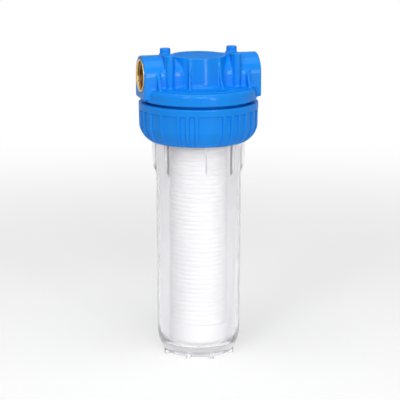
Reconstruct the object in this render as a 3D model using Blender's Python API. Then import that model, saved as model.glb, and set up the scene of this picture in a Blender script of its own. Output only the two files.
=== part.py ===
"""Cartridge filter for a water line, standing on its own feet.

Metres, Z up. The origin is on the floor, on the axis of the bowl. The ports lie along X,
inlet at -X and outlet at +X, and the front is -Y.
"""

import math

import bmesh
import bpy
from mathutils import Matrix, Vector

# Play between pieces
TOUCH_GAP = 0.0003
SCREW_PLAY = 0.0007
SLIP_FIT = 0.0006

# Facets round the turned pieces
SHELL_FACETS = 32
CARTRIDGE_FACETS = 18
SMALL_FACETS = 16
BOSS_FACETS = 12
BUSH_FACETS = 24

# Steps along rounded outlines
FILLET_STEPS = 3
SHOULDER_STEPS = 4
FLOOR_STEPS = 5
BELLY_STEPS = 6
SEAL_STEPS = 6

# How far a cutting shape reaches past the skin it cuts
CUT_REACH = 0.0100

# Cartridge
CARTRIDGE_LENGTH = 0.248
MEDIA_RADIUS = 0.0308
MEDIA_BAND_RISE = 0.0010
MEDIA_BAND_LENGTH = 0.0200
MEDIA_GROOVE_PITCH = 0.00495
MEDIA_GROOVE_DEPTH = 0.0014
MEDIA_GROOVE_PLACE = 0.25
CORE_BORE = 0.0140
CORE_WALL = 0.0024
CORE_SIDES = 12
CORE_WINDOW_HEIGHT = 0.0250
CORE_RING_HEIGHT = 0.0080
GASKET_THICKNESS = 0.0027
GASKET_RADIUS = 0.0270

# Bowl, its bores counted out from the cartridge and its drafts in from the neck
WATER_SPACE = 0.0115
BOWL_MID_DRAFT = 0.0008
BOWL_LOW_DRAFT = 0.0033
BOWL_NECK_WALL = 0.0026
BOWL_MID_WALL = 0.0028
BOWL_LOW_WALL = 0.0046
BOWL_MID_DROP = 0.0463
BOWL_UNDERSIDE = 0.0083
BOWL_FLOOR_THICKNESS = 0.0044
BOWL_CORNER_RISE = 0.0193
FLOOR_CORNER = 0.0085
BASE_RING_INSET = 0.0081
BASE_RING_WALL = 0.0033
BASE_RING_HEIGHT = 0.0025
BASE_RING_ROUND = 82.0
FOOT_DROP = 0.0023
FOOT_WIDTH = 0.0048
FOOT_INSET = 0.0070
FOOT_STANDOUT = 0.0028
FOOT_TURN = -12.7
FOOT_HALF_SPREAD = 20.0
GUIDE_HEIGHT = 0.0115
GUIDE_TAPER = 0.0016
FLANGE_DROP = 0.0247
FLANGE_THICKNESS = 0.0077
FLANGE_EDGE = 0.0023
FIN_DIRECTIONS = (-105.0, -60.0, -3.0, 35.0, 79.0, 122.0, 167.5, -149.5)
FIN_THICKNESS = 0.0026
FIN_RISE = 0.0040
FIN_DRAFT = 0.0012
FIN_LENGTH = 0.0362
FIN_RUNOUT = 0.0095

# Seal between bowl and head
SEAL_SETBACK = 0.0034
SEAL_WIDTH = 0.0050
SEAL_GROOVE_DEPTH = 0.0034

# Room for the screw thread between head and ring nut
THREAD_PITCH = 0.006
THREAD_TURNS = 2.25
THREAD_DEPTH = 0.0022
THREAD_RISE = 0.0027

# Ring nut
NUT_WALL = 0.0068
NUT_RELIEF = 0.0085
NUT_DRAFT = 0.0006
NUT_WAIST_RISE = 0.0163
NUT_BELLY_DRAFT = 0.0022
NUT_BELLY_RISE = 0.0053
NUT_LIP_THICKNESS = 0.0053
NUT_EDGE = 0.0010
NUT_CORNER_RISE = 0.0060
PANEL_DEPTH = 0.0013
PANEL_TOP_MARGIN = 0.0076
PANEL_BOTTOM_MARGIN = 0.0033
RIB_WIDTH = 0.0038
NUT_SECTORS = 3
RIB_PITCHES = (27.0, 9.0, 9.0, 10.0, 12.5, 15.5, 19.0, 9.0, 9.0)
NUT_TURN = -16.5
PANEL_STEP = 8.0

# Brass bushes in the ports
BUSH_BORE = 0.01515
BUSH_WALL = 0.00245
BUSH_MOUTH_FLARE = 0.00145
BUSH_MOUTH_DEPTH = 0.0014
BUSH_THREAD_LENGTH = 0.0170
BUSH_COLLAR_LENGTH = 0.0063
BUSH_COLLAR_HEIGHT = 0.00275
BUSH_STANDOUT = 0.0005
BUSH_PLAY = 0.0003
BUSH_SEAL_SECTION = 0.0022
BUSH_SEAL_WIDTH = 0.0026
BUSH_SEAL_INSET = 0.0016

# Head, from the rim up
CHAMBER_LAND = 0.0012
CHAMBER_ROOF = 0.0016
CHAMBER_FILLET = 0.0031
RIM_INSET = 0.0019
RIM_HEIGHT = 0.0132
RIM_GAP = 0.0028
SHOULDER_RADIUS = 0.0062
STEP_INSET = 0.0026
STEP_HEIGHT = 0.0008
DOME_RADIUS = 0.0297
DOME_DRAFT = 0.0015
DOME_FOOT_RISE = 0.0066
DOME_FOOT_FLARE = 0.0068
DOME_SINK = 0.0011
DOME_RIM_WIDTH = 0.0032
DOME_DISC_DEPTH = 0.0007
DOME_EDGE = 0.0008
PORT_RISE = 0.0135
PORT_WALL = 0.0031
PORT_BLOCK_DEPTH = 0.0035
PORT_BLOCK_CORNER = 0.0035
PORT_SETBACK = 0.0002
PORT_EDGE = 0.0010
PORT_EDGE_ANGLE = 60.0
PORT_ARC_STEPS = 15
PAD_GAP = 0.00125
PAD_WIDTH = 0.0107
PAD_INSET = 0.0008
PAD_RISE = 0.0015
BOSS_RADIUS = 0.00425
SCREW_HOLE_RADIUS = 0.0016
SCREW_HOLE_DEPTH = 0.0120
PIN_RADIUS = 0.00560
PIN_LENGTH = 0.0055
PIN_EDGE = 0.0006
GUSSET_SETBACK = 0.0150
GUSSET_WIDTH = 0.0034
GUSSET_RISE = 0.0055
GUSSET_SPREAD = 0.0100
DOME_FIN_WIDTH = 0.0023
DOME_FIN_ROOT_TURN = 33.0
DOME_FIN_SPLAY = 11.0
DOME_FIN_LENGTH = 0.0106
SPIGOT_PLAY = 0.0015
SPIGOT_WALL = 0.0030
SPIGOT_LENGTH = 0.0110
SEAT_LAND = 0.0026
INLET_DROP_RADIUS = 0.0088
INLET_DROP_WALL = 0.0032
CHANNEL_STEP = 0.0004
CHANNEL_END_WALL = 0.0020

# Heights that follow, from the floor of the bowl up
BOWL_FLOOR = BOWL_UNDERSIDE + BOWL_FLOOR_THICKNESS
BOWL_CORNER_TOP = BOWL_FLOOR + BOWL_CORNER_RISE
GASKET_BOTTOM = BOWL_FLOOR + TOUCH_GAP
CARTRIDGE_BOTTOM = GASKET_BOTTOM + GASKET_THICKNESS + TOUCH_GAP
CARTRIDGE_TOP = CARTRIDGE_BOTTOM + CARTRIDGE_LENGTH
TOP_GASKET_BOTTOM = CARTRIDGE_TOP + TOUCH_GAP
SEAT_HEIGHT = TOP_GASKET_BOTTOM + GASKET_THICKNESS + TOUCH_GAP
FLANGE_BOTTOM = CARTRIDGE_TOP - FLANGE_DROP
FLANGE_TOP = FLANGE_BOTTOM + FLANGE_THICKNESS
BOWL_MID_HEIGHT = FLANGE_BOTTOM - BOWL_MID_DROP
SKIRT_BOTTOM = FLANGE_TOP + TOUCH_GAP
THREAD_START = SKIRT_BOTTOM + THREAD_RISE
NUT_LIP_TOP = FLANGE_BOTTOM - TOUCH_GAP
NUT_BOTTOM = NUT_LIP_TOP - NUT_LIP_THICKNESS
NUT_TOP = THREAD_START + THREAD_PITCH * (THREAD_TURNS + 0.5) + NUT_RELIEF
FIN_END = NUT_BOTTOM - FIN_LENGTH
RIM_BOTTOM = NUT_TOP + RIM_GAP
RIM_TOP = RIM_BOTTOM + RIM_HEIGHT
DOME_FLAT = RIM_TOP + STEP_HEIGHT
DOME_FOOT_HEIGHT = DOME_FLAT + DOME_FOOT_RISE
PORT_HEIGHT = RIM_TOP + PORT_RISE

# Radii that follow, from the middle of the cartridge out
CORE_RADIUS = CORE_BORE + CORE_WALL
GUIDE_RADIUS = CORE_BORE - SLIP_FIT
SPIGOT_RADIUS = CORE_BORE - SPIGOT_PLAY
SPIGOT_BORE = SPIGOT_RADIUS - SPIGOT_WALL
SEAT_RADIUS = CORE_RADIUS + SEAT_LAND
MEDIA_BAND_RADIUS = MEDIA_RADIUS + MEDIA_BAND_RISE
NECK_BORE = MEDIA_BAND_RADIUS + WATER_SPACE
MID_BORE = NECK_BORE - BOWL_MID_DRAFT
LOW_BORE = NECK_BORE - BOWL_LOW_DRAFT
NECK_RADIUS = NECK_BORE + BOWL_NECK_WALL
LOW_RADIUS = LOW_BORE + BOWL_LOW_WALL
BASE_RING_RADIUS = LOW_RADIUS - BASE_RING_INSET
FIN_RADIUS = NECK_RADIUS + FIN_RISE
SEAL_INNER = NECK_BORE + SEAL_SETBACK
SEAL_OUTER = SEAL_INNER + SEAL_WIDTH
FLANGE_RADIUS = SEAL_OUTER + FLANGE_EDGE
SKIRT_RADIUS = FLANGE_RADIUS
CHAMBER_RADIUS = SEAL_INNER - CHAMBER_LAND
THREAD_CREST_RADIUS = SKIRT_RADIUS + THREAD_DEPTH
NUT_LIP_BORE = FIN_RADIUS + SCREW_PLAY
NUT_BORE = THREAD_CREST_RADIUS + SCREW_PLAY
NUT_RADIUS = NUT_BORE + NUT_WALL
RIM_RADIUS = NUT_RADIUS - RIM_INSET
STEP_RADIUS = RIM_RADIUS - SHOULDER_RADIUS - STEP_INSET
DOME_FOOT_RADIUS = DOME_RADIUS + DOME_DRAFT
DOME_DISC_RADIUS = DOME_RADIUS - DOME_RIM_WIDTH
PAD_CENTRE = DOME_RADIUS + PAD_GAP + PAD_WIDTH / 2

# Sizes of the ports that follow from the bushes
BUSH_RADIUS = BUSH_BORE + BUSH_WALL
BUSH_COLLAR_BORE = BUSH_BORE - BUSH_COLLAR_HEIGHT
POCKET_RADIUS = BUSH_RADIUS + BUSH_PLAY
PORT_RADIUS = POCKET_RADIUS + PORT_WALL
PORT_REACH = NUT_RADIUS - PORT_SETBACK
BUSH_FACE = PORT_REACH + BUSH_STANDOUT
BUSH_START = BUSH_FACE - BUSH_THREAD_LENGTH - BUSH_COLLAR_LENGTH
BUSH_SEAL_START = BUSH_START + BUSH_SEAL_INSET
BUSH_SEAL_END = BUSH_SEAL_START + BUSH_SEAL_WIDTH
POCKET_END = BUSH_START - TOUCH_GAP
CHANNEL_RADIUS = BUSH_COLLAR_BORE - CHANNEL_STEP
CHAMBER_TOP = PORT_HEIGHT - POCKET_RADIUS - CHAMBER_ROOF
INLET_DROP_CENTRE = SEAT_RADIUS + INLET_DROP_WALL + INLET_DROP_RADIUS
INLET_CHANNEL_END = INLET_DROP_CENTRE - INLET_DROP_RADIUS - CHANNEL_END_WALL
OUTLET_CHANNEL_END = -SPIGOT_BORE - CHANNEL_END_WALL
DOME_TOP = PORT_HEIGHT + PORT_RADIUS - DOME_SINK
PAD_TOP = PORT_HEIGHT + PORT_RADIUS + PAD_RISE
PAD_FRONT = PORT_RADIUS - PAD_INSET

FRONT = -90.0
SMOOTH_ANGLE = 32.0
HALF_FACET = Matrix.Rotation(math.pi / SHELL_FACETS, 4, "Z")


def clear_scene():
    for old in list(bpy.data.objects):
        bpy.data.objects.remove(old, do_unlink=True)


def plastic(name, color, roughness, metallic=0.0, alpha=1.0):
    material = bpy.data.materials.new(name)
    material.use_nodes = True
    shader = material.node_tree.nodes["Principled BSDF"]
    shader.inputs["Base Color"].default_value = (*color, 1.0)
    shader.inputs["Roughness"].default_value = roughness
    shader.inputs["Metallic"].default_value = metallic
    shader.inputs["Alpha"].default_value = alpha
    material.diffuse_color = (*color, alpha)
    return material


def place(name, bm, material, parent=None):
    """Write the mesh to a named object, its faces outward and round faces smooth."""
    bmesh.ops.recalc_face_normals(bm, faces=bm.faces)
    mesh = bpy.data.meshes.new(name)
    bm.to_mesh(mesh)
    bm.free()
    mesh.materials.append(material)
    mesh.shade_smooth()
    mesh.set_sharp_from_angle(angle=math.radians(SMOOTH_ANGLE))
    piece = bpy.data.objects.new(name, mesh)
    bpy.context.scene.collection.objects.link(piece)
    piece.parent = parent
    return piece


def combine(piece, name, bm, operation):
    """Join a shape to a piece, or cut it away, with a Boolean that stays on the piece."""
    tool = place(name, bm, piece.data.materials[0], piece.parent)
    tool.hide_render = True
    tool.display_type = "WIRE"
    modifier = piece.modifiers.new(name, "BOOLEAN")
    modifier.operation = operation
    modifier.solver = "EXACT"
    modifier.object = tool
    return tool


def polar(radius, degrees, z=0.0):
    """A point at an angle from the front, counted towards +X."""
    angle = math.radians(FRONT + degrees)
    return Vector((radius * math.cos(angle), radius * math.sin(angle), z))


def arc(centre, radii, start, end, steps):
    """Points (radius, z) on a quarter of an ellipse, angles in degrees from +radius."""
    points = []
    for step in range(steps + 1):
        angle = math.radians(start + (end - start) * step / steps)
        points.append((centre[0] + radii[0] * math.cos(angle), centre[1] + radii[1] * math.sin(angle)))
    return points


def bend(start, control, end, steps):
    """Points on a quadratic curve."""
    points = []
    for step in range(steps + 1):
        t = step / steps
        points.append(tuple(
            (1 - t) ** 2 * a + 2 * t * (1 - t) * b + t**2 * c for a, b, c in zip(start, control, end)
        ))
    return points


def add_turned(bm, outline, facets, matrix=None):
    """Turn a closed outline of (radius, z) about Z; points on the axis become poles."""
    matrix = matrix or Matrix()
    poles = {}
    columns = []
    for step in range(facets):
        angle = math.tau * step / facets
        column = []
        for index, (radius, z) in enumerate(outline):
            if radius > 0.0:
                point = Vector((radius * math.cos(angle), radius * math.sin(angle), z))
                column.append(bm.verts.new(matrix @ point))
                continue
            if index not in poles:
                poles[index] = bm.verts.new(matrix @ Vector((0.0, 0.0, z)))
            column.append(poles[index])
        columns.append(column)
    for column, after in zip(columns, columns[1:] + columns[:1]):
        for index in range(len(outline)):
            following = (index + 1) % len(outline)
            corners = [column[index], after[index], after[following], column[following]]
            corners = list(dict.fromkeys(corners))
            if len(corners) > 2:
                bm.faces.new(corners)


def round_flats(radius, facets):
    """Radius of the corners of a faceted bore whose flats stand at this radius."""
    return radius / math.cos(math.pi / facets)


def turned(outline, facets, matrix=None):
    bm = bmesh.new()
    add_turned(bm, outline, facets, matrix)
    return bm


def add_prism(bm, outline, sweep):
    """Push a flat outline of 3-D points along a vector."""
    near = [bm.verts.new(point) for point in outline]
    far = [bm.verts.new(Vector(point) + sweep) for point in outline]
    bm.faces.new(near)
    bm.faces.new(reversed(far))
    for index in range(len(near)):
        following = (index + 1) % len(near)
        bm.faces.new((near[index], near[following], far[following], far[index]))


def rod_outline(radius, bottom, top, edge=0.0):
    """Half section of a round rod, with a chamfer at its top edge."""
    outline = [(0.0, bottom), (radius, bottom), (radius, top - edge)]
    if edge > 0.0:
        outline.append((radius - edge, top))
    outline.append((0.0, top))
    return outline


def seal_outline(inner, outer, bottom, top):
    """Rounded section of a squeezed O-ring."""
    centre = ((inner + outer) / 2, (bottom + top) / 2)
    radii = ((outer - inner) / 2, (top - bottom) / 2)
    return arc(centre, radii, 0.0, 360.0 - 360.0 / SEAL_STEPS, SEAL_STEPS - 1)


def make_bowl(material, parent):
    """Clear bowl: base ring, rounded corner, tapering wall, flange with the seal's groove."""
    ring_inside = BASE_RING_RADIUS - BASE_RING_WALL
    ring_top = FOOT_DROP + BASE_RING_HEIGHT
    corner_centre = (BASE_RING_RADIUS - TOUCH_GAP, BOWL_CORNER_TOP)
    corner_size = (LOW_RADIUS - corner_centre[0], BOWL_CORNER_TOP - ring_top)
    floor_centre = (LOW_BORE - FLOOR_CORNER, BOWL_CORNER_TOP)
    floor_size = (FLOOR_CORNER, BOWL_CORNER_TOP - BOWL_FLOOR)
    groove_inner = SEAL_INNER - TOUCH_GAP
    groove_outer = SEAL_OUTER + TOUCH_GAP
    groove_floor = FLANGE_TOP - SEAL_GROOVE_DEPTH
    outline = [(0.0, BOWL_UNDERSIDE), (ring_inside, BOWL_UNDERSIDE), (ring_inside, FOOT_DROP)]
    outline += [(BASE_RING_RADIUS, FOOT_DROP)]
    outline += arc(corner_centre, corner_size, -BASE_RING_ROUND, 0.0, BELLY_STEPS)
    outline += [(MID_BORE + BOWL_MID_WALL, BOWL_MID_HEIGHT), (NECK_RADIUS, FLANGE_BOTTOM)]
    outline += [(FLANGE_RADIUS, FLANGE_BOTTOM), (FLANGE_RADIUS, FLANGE_TOP)]
    outline += [(groove_outer, FLANGE_TOP), (groove_outer, groove_floor)]
    outline += [(groove_inner, groove_floor), (groove_inner, FLANGE_TOP)]
    outline += [(NECK_BORE, FLANGE_TOP), (MID_BORE, BOWL_MID_HEIGHT)]
    outline += arc(floor_centre, floor_size, 0.0, -90.0, FLOOR_STEPS)
    outline += [(GUIDE_RADIUS, BOWL_FLOOR), (GUIDE_RADIUS - GUIDE_TAPER, BOWL_FLOOR + GUIDE_HEIGHT)]
    outline += [(0.0, BOWL_FLOOR + GUIDE_HEIGHT)]
    bowl = place("bowl", turned(outline, SHELL_FACETS), material, parent)
    combine(bowl, "bowl_fins", fin_shapes(), "UNION")
    combine(bowl, "bowl_feet", foot_shapes(), "UNION")
    return bowl


def fin_shapes():
    """Upright fins under the flange; each runs out into the wall at its lower end."""
    bm = bmesh.new()
    root = NECK_BORE + BOWL_NECK_WALL / 2
    top = FLANGE_BOTTOM + FLANGE_THICKNESS / 4
    low = FIN_RADIUS - FIN_DRAFT
    side = [(root, top), (FIN_RADIUS, top), (FIN_RADIUS, NUT_BOTTOM)]
    side += bend((low, FIN_END + FIN_RUNOUT), (low, FIN_END), (root, FIN_END), FILLET_STEPS)
    for degrees in FIN_DIRECTIONS:
        across = polar(1.0, degrees + 90.0) * FIN_THICKNESS
        outline = [polar(radius, degrees, z) - across / 2 for radius, z in side]
        add_prism(bm, outline, across)
    return bm


def foot_shapes():
    """Four pairs of radial feet that reach a little below the base ring."""
    bm = bmesh.new()
    inner = BASE_RING_RADIUS - FOOT_INSET
    outer = BASE_RING_RADIUS + FOOT_STANDOUT
    top = BOWL_UNDERSIDE + TOUCH_GAP
    side = [(inner, 0.0), (outer, 0.0), (outer, top), (inner, top)]
    for quarter in range(4):
        for spread in (-FOOT_HALF_SPREAD, FOOT_HALF_SPREAD):
            degrees = FOOT_TURN + 90.0 * quarter + spread
            across = polar(1.0, degrees + 90.0) * FOOT_WIDTH
            add_prism(bm, [polar(radius, degrees, z) - across / 2 for radius, z in side], across)
    return bm


def make_bowl_seal(material, parent):
    bottom = FLANGE_TOP - SEAL_GROOVE_DEPTH + TOUCH_GAP
    outline = seal_outline(SEAL_INNER, SEAL_OUTER, bottom, SKIRT_BOTTOM - TOUCH_GAP)
    return place("bowl_seal", turned(outline, SHELL_FACETS), material, parent)


def make_media(material, parent):
    """Melt-blown tube with turned grooves between two plain bands."""
    bore = round_flats(CORE_RADIUS + TOUCH_GAP, CARTRIDGE_FACETS)
    first = CARTRIDGE_BOTTOM + MEDIA_BAND_LENGTH
    last = CARTRIDGE_TOP - MEDIA_BAND_LENGTH
    count = int((last - first) / MEDIA_GROOVE_PITCH)
    pitch = (last - first) / count
    outline = [(bore, CARTRIDGE_BOTTOM), (MEDIA_BAND_RADIUS, CARTRIDGE_BOTTOM), (MEDIA_BAND_RADIUS, first)]
    for index in range(count):
        groove = first + pitch * (index + MEDIA_GROOVE_PLACE)
        crest = first + pitch * (index + 1 - MEDIA_GROOVE_PLACE)
        outline += [(MEDIA_RADIUS - MEDIA_GROOVE_DEPTH, groove), (MEDIA_RADIUS, crest)]
    outline += [(MEDIA_BAND_RADIUS, last), (MEDIA_BAND_RADIUS, CARTRIDGE_TOP), (bore, CARTRIDGE_TOP)]
    return place("cartridge_media", turned(outline, CARTRIDGE_FACETS), material, parent)


def make_core(material, parent):
    """Perforated tube: rows of windows between closed rings, alternate panels closed."""
    rows = int((CARTRIDGE_LENGTH - CORE_RING_HEIGHT) / (CORE_WINDOW_HEIGHT + CORE_RING_HEIGHT))
    ring = (CARTRIDGE_LENGTH - rows * CORE_WINDOW_HEIGHT) / (rows + 1)
    heights = [CARTRIDGE_BOTTOM]
    for row in range(rows):
        heights.append(heights[-1] + ring)
        heights.append(heights[-1] + CORE_WINDOW_HEIGHT)
    heights.append(CARTRIDGE_TOP)
    bm = bmesh.new()
    grid = []
    for radius in (round_flats(CORE_BORE, CORE_SIDES), CORE_RADIUS):
        shell = []
        for side in range(CORE_SIDES):
            shell.append([bm.verts.new(polar(radius, 360.0 * side / CORE_SIDES, z)) for z in heights])
        grid.append(shell)
    inner, outer = grid

    def is_window(side, level):
        return side % 2 == 0 and level % 2 == 1 and 0 < level < len(heights) - 1

    for side in range(CORE_SIDES):
        following = (side + 1) % CORE_SIDES
        for level in range(len(heights) - 1):
            quads = []
            for shell in grid:
                near, far = shell[side], shell[following]
                quads.append((near[level], far[level], far[level + 1], near[level + 1]))
            if not is_window(side, level):
                for quad in quads:
                    bm.faces.new(quad)
                continue
            for edge in range(4):
                a, b = quads[0][edge], quads[0][(edge + 1) % 4]
                c, d = quads[1][(edge + 1) % 4], quads[1][edge]
                bm.faces.new((a, b, c, d))
        for level in (0, -1):
            near, far = (inner[side], inner[following]), (outer[following], outer[side])
            bm.faces.new([column[level] for column in near + far])
    return place("cartridge_core", bm, material, parent)


def make_gasket(name, bottom, material, parent):
    top = bottom + GASKET_THICKNESS
    outline = [(CORE_BORE, bottom), (GASKET_RADIUS, bottom), (GASKET_RADIUS, top), (CORE_BORE, top)]
    return place(name, turned(outline, SMALL_FACETS), material, parent)


def nut_outside(inset=0.0):
    """Outer profile of the ring nut from top to bottom, drawn in by an inset."""
    waist_radius = NUT_RADIUS - NUT_DRAFT - inset
    waist = (waist_radius, NUT_BOTTOM + NUT_WAIST_RISE)
    belly = (waist_radius - NUT_BELLY_DRAFT, NUT_BOTTOM + NUT_BELLY_RISE)
    foot = (NUT_LIP_BORE + NUT_EDGE - inset, NUT_BOTTOM)
    return [(NUT_RADIUS - inset, NUT_TOP - NUT_EDGE)] + bend(waist, belly, foot, BELLY_STEPS)


def make_ring_nut(material, parent):
    """Ring nut: a lip under the bowl's flange, a wide bore, ribs between sunk panels."""
    outline = [(NUT_RADIUS - NUT_EDGE, NUT_TOP)]
    outline += nut_outside()
    outline += [(NUT_LIP_BORE, NUT_BOTTOM + NUT_EDGE / 2), (NUT_LIP_BORE, NUT_LIP_TOP)]
    outline += [(FLANGE_RADIUS + SCREW_PLAY, NUT_LIP_TOP), (NUT_BORE, NUT_LIP_TOP + NUT_CORNER_RISE)]
    outline += [(NUT_BORE, NUT_TOP - NUT_EDGE), (NUT_BORE + NUT_EDGE, NUT_TOP)]
    nut = place("ring_nut", turned(outline, SHELL_FACETS), material, parent)
    combine(nut, "nut_panels", panel_shapes(), "DIFFERENCE")
    return nut


def panel_shapes():
    """One cutter for each sunk panel, from rib to rib, its floor parallel to the nut's skin."""
    bm = bmesh.new()
    top = NUT_TOP - PANEL_TOP_MARGIN
    bottom = NUT_BOTTOM + PANEL_BOTTOM_MARGIN
    outside = NUT_RADIUS + PANEL_DEPTH
    half_rib = math.degrees(RIB_WIDTH / 2 / NUT_RADIUS)
    sunk = nut_outside(PANEL_DEPTH)
    side = [(sunk[0][0], top)] + [point for point in sunk if bottom < point[1] < top]
    side += [(side[-1][0] - PANEL_DEPTH, bottom), (outside, bottom - PANEL_DEPTH)]
    side += [(outside, top + PANEL_DEPTH / 2)]
    rib = NUT_TURN
    for pitch in RIB_PITCHES * NUT_SECTORS:
        start = rib + half_rib
        end = rib + pitch - half_rib
        steps = max(1, round((end - start) / PANEL_STEP))
        stations = []
        for step in range(steps + 1):
            degrees = start + (end - start) * step / steps
            stations.append([bm.verts.new(polar(radius, degrees, z)) for radius, z in side])
        for near, far in zip(stations, stations[1:]):
            for index in range(len(side)):
                following = (index + 1) % len(side)
                bm.faces.new((near[index], near[following], far[following], far[index]))
        bm.faces.new(stations[0])
        bm.faces.new(reversed(stations[-1]))
        rib += pitch
    return bm


def make_head(material, parent):
    """Head: skirt, rim, shoulder and dome, with the port block across it."""
    shoulder = (RIM_RADIUS - SHOULDER_RADIUS, RIM_TOP - SHOULDER_RADIUS)
    edge = NUT_EDGE / 2
    raised = PORT_HEIGHT + PORT_RADIUS + DOME_EDGE
    outline = [(0.0, SKIRT_BOTTOM), (SKIRT_RADIUS, SKIRT_BOTTOM), (SKIRT_RADIUS, RIM_BOTTOM)]
    outline += [(RIM_RADIUS - edge, RIM_BOTTOM), (RIM_RADIUS, RIM_BOTTOM + edge)]
    outline += arc(shoulder, (SHOULDER_RADIUS, SHOULDER_RADIUS), 0.0, 90.0, SHOULDER_STEPS)
    outline += [(STEP_RADIUS, RIM_TOP), (STEP_RADIUS - STEP_HEIGHT, DOME_FLAT)]
    flat_end = (DOME_FOOT_RADIUS + DOME_FOOT_FLARE, DOME_FLAT)
    corner = (DOME_FOOT_RADIUS, DOME_FLAT)
    outline += bend(flat_end, corner, (DOME_FOOT_RADIUS, DOME_FOOT_HEIGHT), FILLET_STEPS)
    outline += [(DOME_RADIUS, raised), (0.0, raised)]
    head = place("head", turned(outline, SHELL_FACETS), material, parent)
    block = combine(head, "port_block", port_block_shape(), "UNION")
    bevel = block.modifiers.new("port_edge", "BEVEL")
    bevel.width = PORT_EDGE
    bevel.segments = 1
    bevel.limit_method = "ANGLE"
    bevel.angle_limit = math.radians(PORT_EDGE_ANGLE)
    combine(head, "dome_fins", dome_fin_shapes(), "UNION")
    combine(head, "gussets", gusset_shapes(), "UNION")
    combine(head, "bracket_pads", pad_shapes(), "UNION")
    combine(head, "screw_bosses", boss_shapes(), "UNION")
    combine(head, "locating_pins", pin_shapes(), "UNION")
    combine(head, "dome_face", dome_face_shape(), "DIFFERENCE")
    combine(head, "chamber", chamber_shape(), "DIFFERENCE")
    combine(head, "port_pockets", pocket_shapes(), "DIFFERENCE")
    combine(head, "water_drops", drop_shapes(), "DIFFERENCE")
    combine(head, "screw_holes", screw_hole_shapes(), "DIFFERENCE")
    return head


def port_block_shape():
    """Tube along X, its sides drawn straight down into a block with rounded lower corners."""
    bm = bmesh.new()
    outline = arc((0.0, PORT_HEIGHT), (PORT_RADIUS, PORT_RADIUS), 0.0, 180.0, PORT_ARC_STEPS)
    inset = PORT_RADIUS - PORT_BLOCK_CORNER
    bottom = PORT_HEIGHT - PORT_RADIUS - PORT_BLOCK_DEPTH + PORT_BLOCK_CORNER
    radii = (PORT_BLOCK_CORNER, PORT_BLOCK_CORNER)
    for centre, start in ((-inset, 180.0), (inset, 270.0)):
        outline += arc((centre, bottom), radii, start, start + 90.0, FILLET_STEPS)
    add_prism(bm, [(-PORT_REACH, y, z) for y, z in outline], Vector((2 * PORT_REACH, 0.0, 0.0)))
    return bm


def dome_face_shape():
    """Levels the top of the dome, the port tube in it too, with a chamfer and a sunk disc."""
    above = DOME_TOP + CUT_REACH
    clear = DOME_RADIUS + DOME_EDGE
    sunk = DOME_TOP - DOME_DISC_DEPTH
    outline = [(0.0, sunk), (DOME_DISC_RADIUS, sunk), (DOME_DISC_RADIUS + DOME_DISC_DEPTH, DOME_TOP)]
    outline += [(DOME_RADIUS - DOME_EDGE, DOME_TOP), (clear, DOME_TOP - 2 * DOME_EDGE)]
    outline += [(clear, above), (0.0, above)]
    return turned(outline, SHELL_FACETS, HALF_FACET)


def mirrored(bm, sides, width, centre):
    """Plates across X at both ends of the head, one for each side outline."""
    for end in (-1, 1):
        for side in sides:
            outline = [(end * centre - width / 2, y, z) for y, z in side]
            add_prism(bm, outline, Vector((width, 0.0, 0.0)))
    return bm


def front_and_back(points):
    return [[(-y, z) for y, z in points], list(points)]


def dome_fin_shapes():
    """Fins that fall from the dome's edge to the flat round it, in front and behind."""
    bm = bmesh.new()
    top = DOME_TOP - 2 * DOME_EDGE
    foot = DOME_FLAT - DOME_EDGE
    bent = (DOME_FIN_LENGTH / 2, DOME_FOOT_HEIGHT)
    side = [(-DOME_FIN_WIDTH, top), (DOME_EDGE, top)]
    side += bend(bent, (DOME_FIN_LENGTH, DOME_FLAT), (DOME_FIN_LENGTH, foot), FILLET_STEPS)
    side += [(-DOME_FIN_WIDTH, foot)]
    for half_turn in (0.0, 180.0):
        for side_sign in (-1, 1):
            root = polar(DOME_RADIUS, half_turn + side_sign * DOME_FIN_ROOT_TURN)
            out = polar(1.0, half_turn + side_sign * DOME_FIN_SPLAY)
            across = polar(1.0, half_turn + side_sign * DOME_FIN_SPLAY + 90.0) * DOME_FIN_WIDTH
            outline = [root + out * reach - across / 2 + Vector((0.0, 0.0, z)) for reach, z in side]
            add_prism(bm, outline, across)
    return bm


def gusset_shapes():
    """Ribs that brace the port block on the rim."""
    root = PORT_RADIUS - PORT_EDGE
    foot = PORT_RADIUS + GUSSET_SPREAD
    top = PORT_HEIGHT + GUSSET_RISE
    side = [(root, top), (PORT_RADIUS, top - PORT_EDGE), (foot, RIM_TOP - PORT_EDGE)]
    side += [(foot, RIM_BOTTOM + PORT_EDGE), (root, RIM_BOTTOM + PORT_EDGE)]
    return mirrored(bmesh.new(), front_and_back(side), GUSSET_WIDTH, PORT_REACH - GUSSET_SETBACK)


def pad_shapes():
    """Flat pads on the ports, from the pins to the front, where a wall bracket lies."""
    side = [(-PAD_FRONT, PORT_HEIGHT), (PIN_RADIUS, PORT_HEIGHT)]
    side += [(PIN_RADIUS, PAD_TOP), (-PAD_FRONT, PAD_TOP)]
    return mirrored(bmesh.new(), [side], PAD_WIDTH, PAD_CENTRE)


def at_boss_places(outline, bm):
    for x in (-PAD_CENTRE, PAD_CENTRE):
        add_turned(bm, outline, BOSS_FACETS, Matrix.Translation((x, -PAD_FRONT, 0.0)))
    return bm


def boss_shapes():
    outline = rod_outline(BOSS_RADIUS, RIM_TOP - SHOULDER_RADIUS, PAD_TOP + TOUCH_GAP, PIN_EDGE)
    return at_boss_places(outline, bmesh.new())


def screw_hole_shapes():
    outline = rod_outline(SCREW_HOLE_RADIUS, PAD_TOP - SCREW_HOLE_DEPTH, PAD_TOP + CUT_REACH)
    return at_boss_places(outline, bmesh.new())


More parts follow.
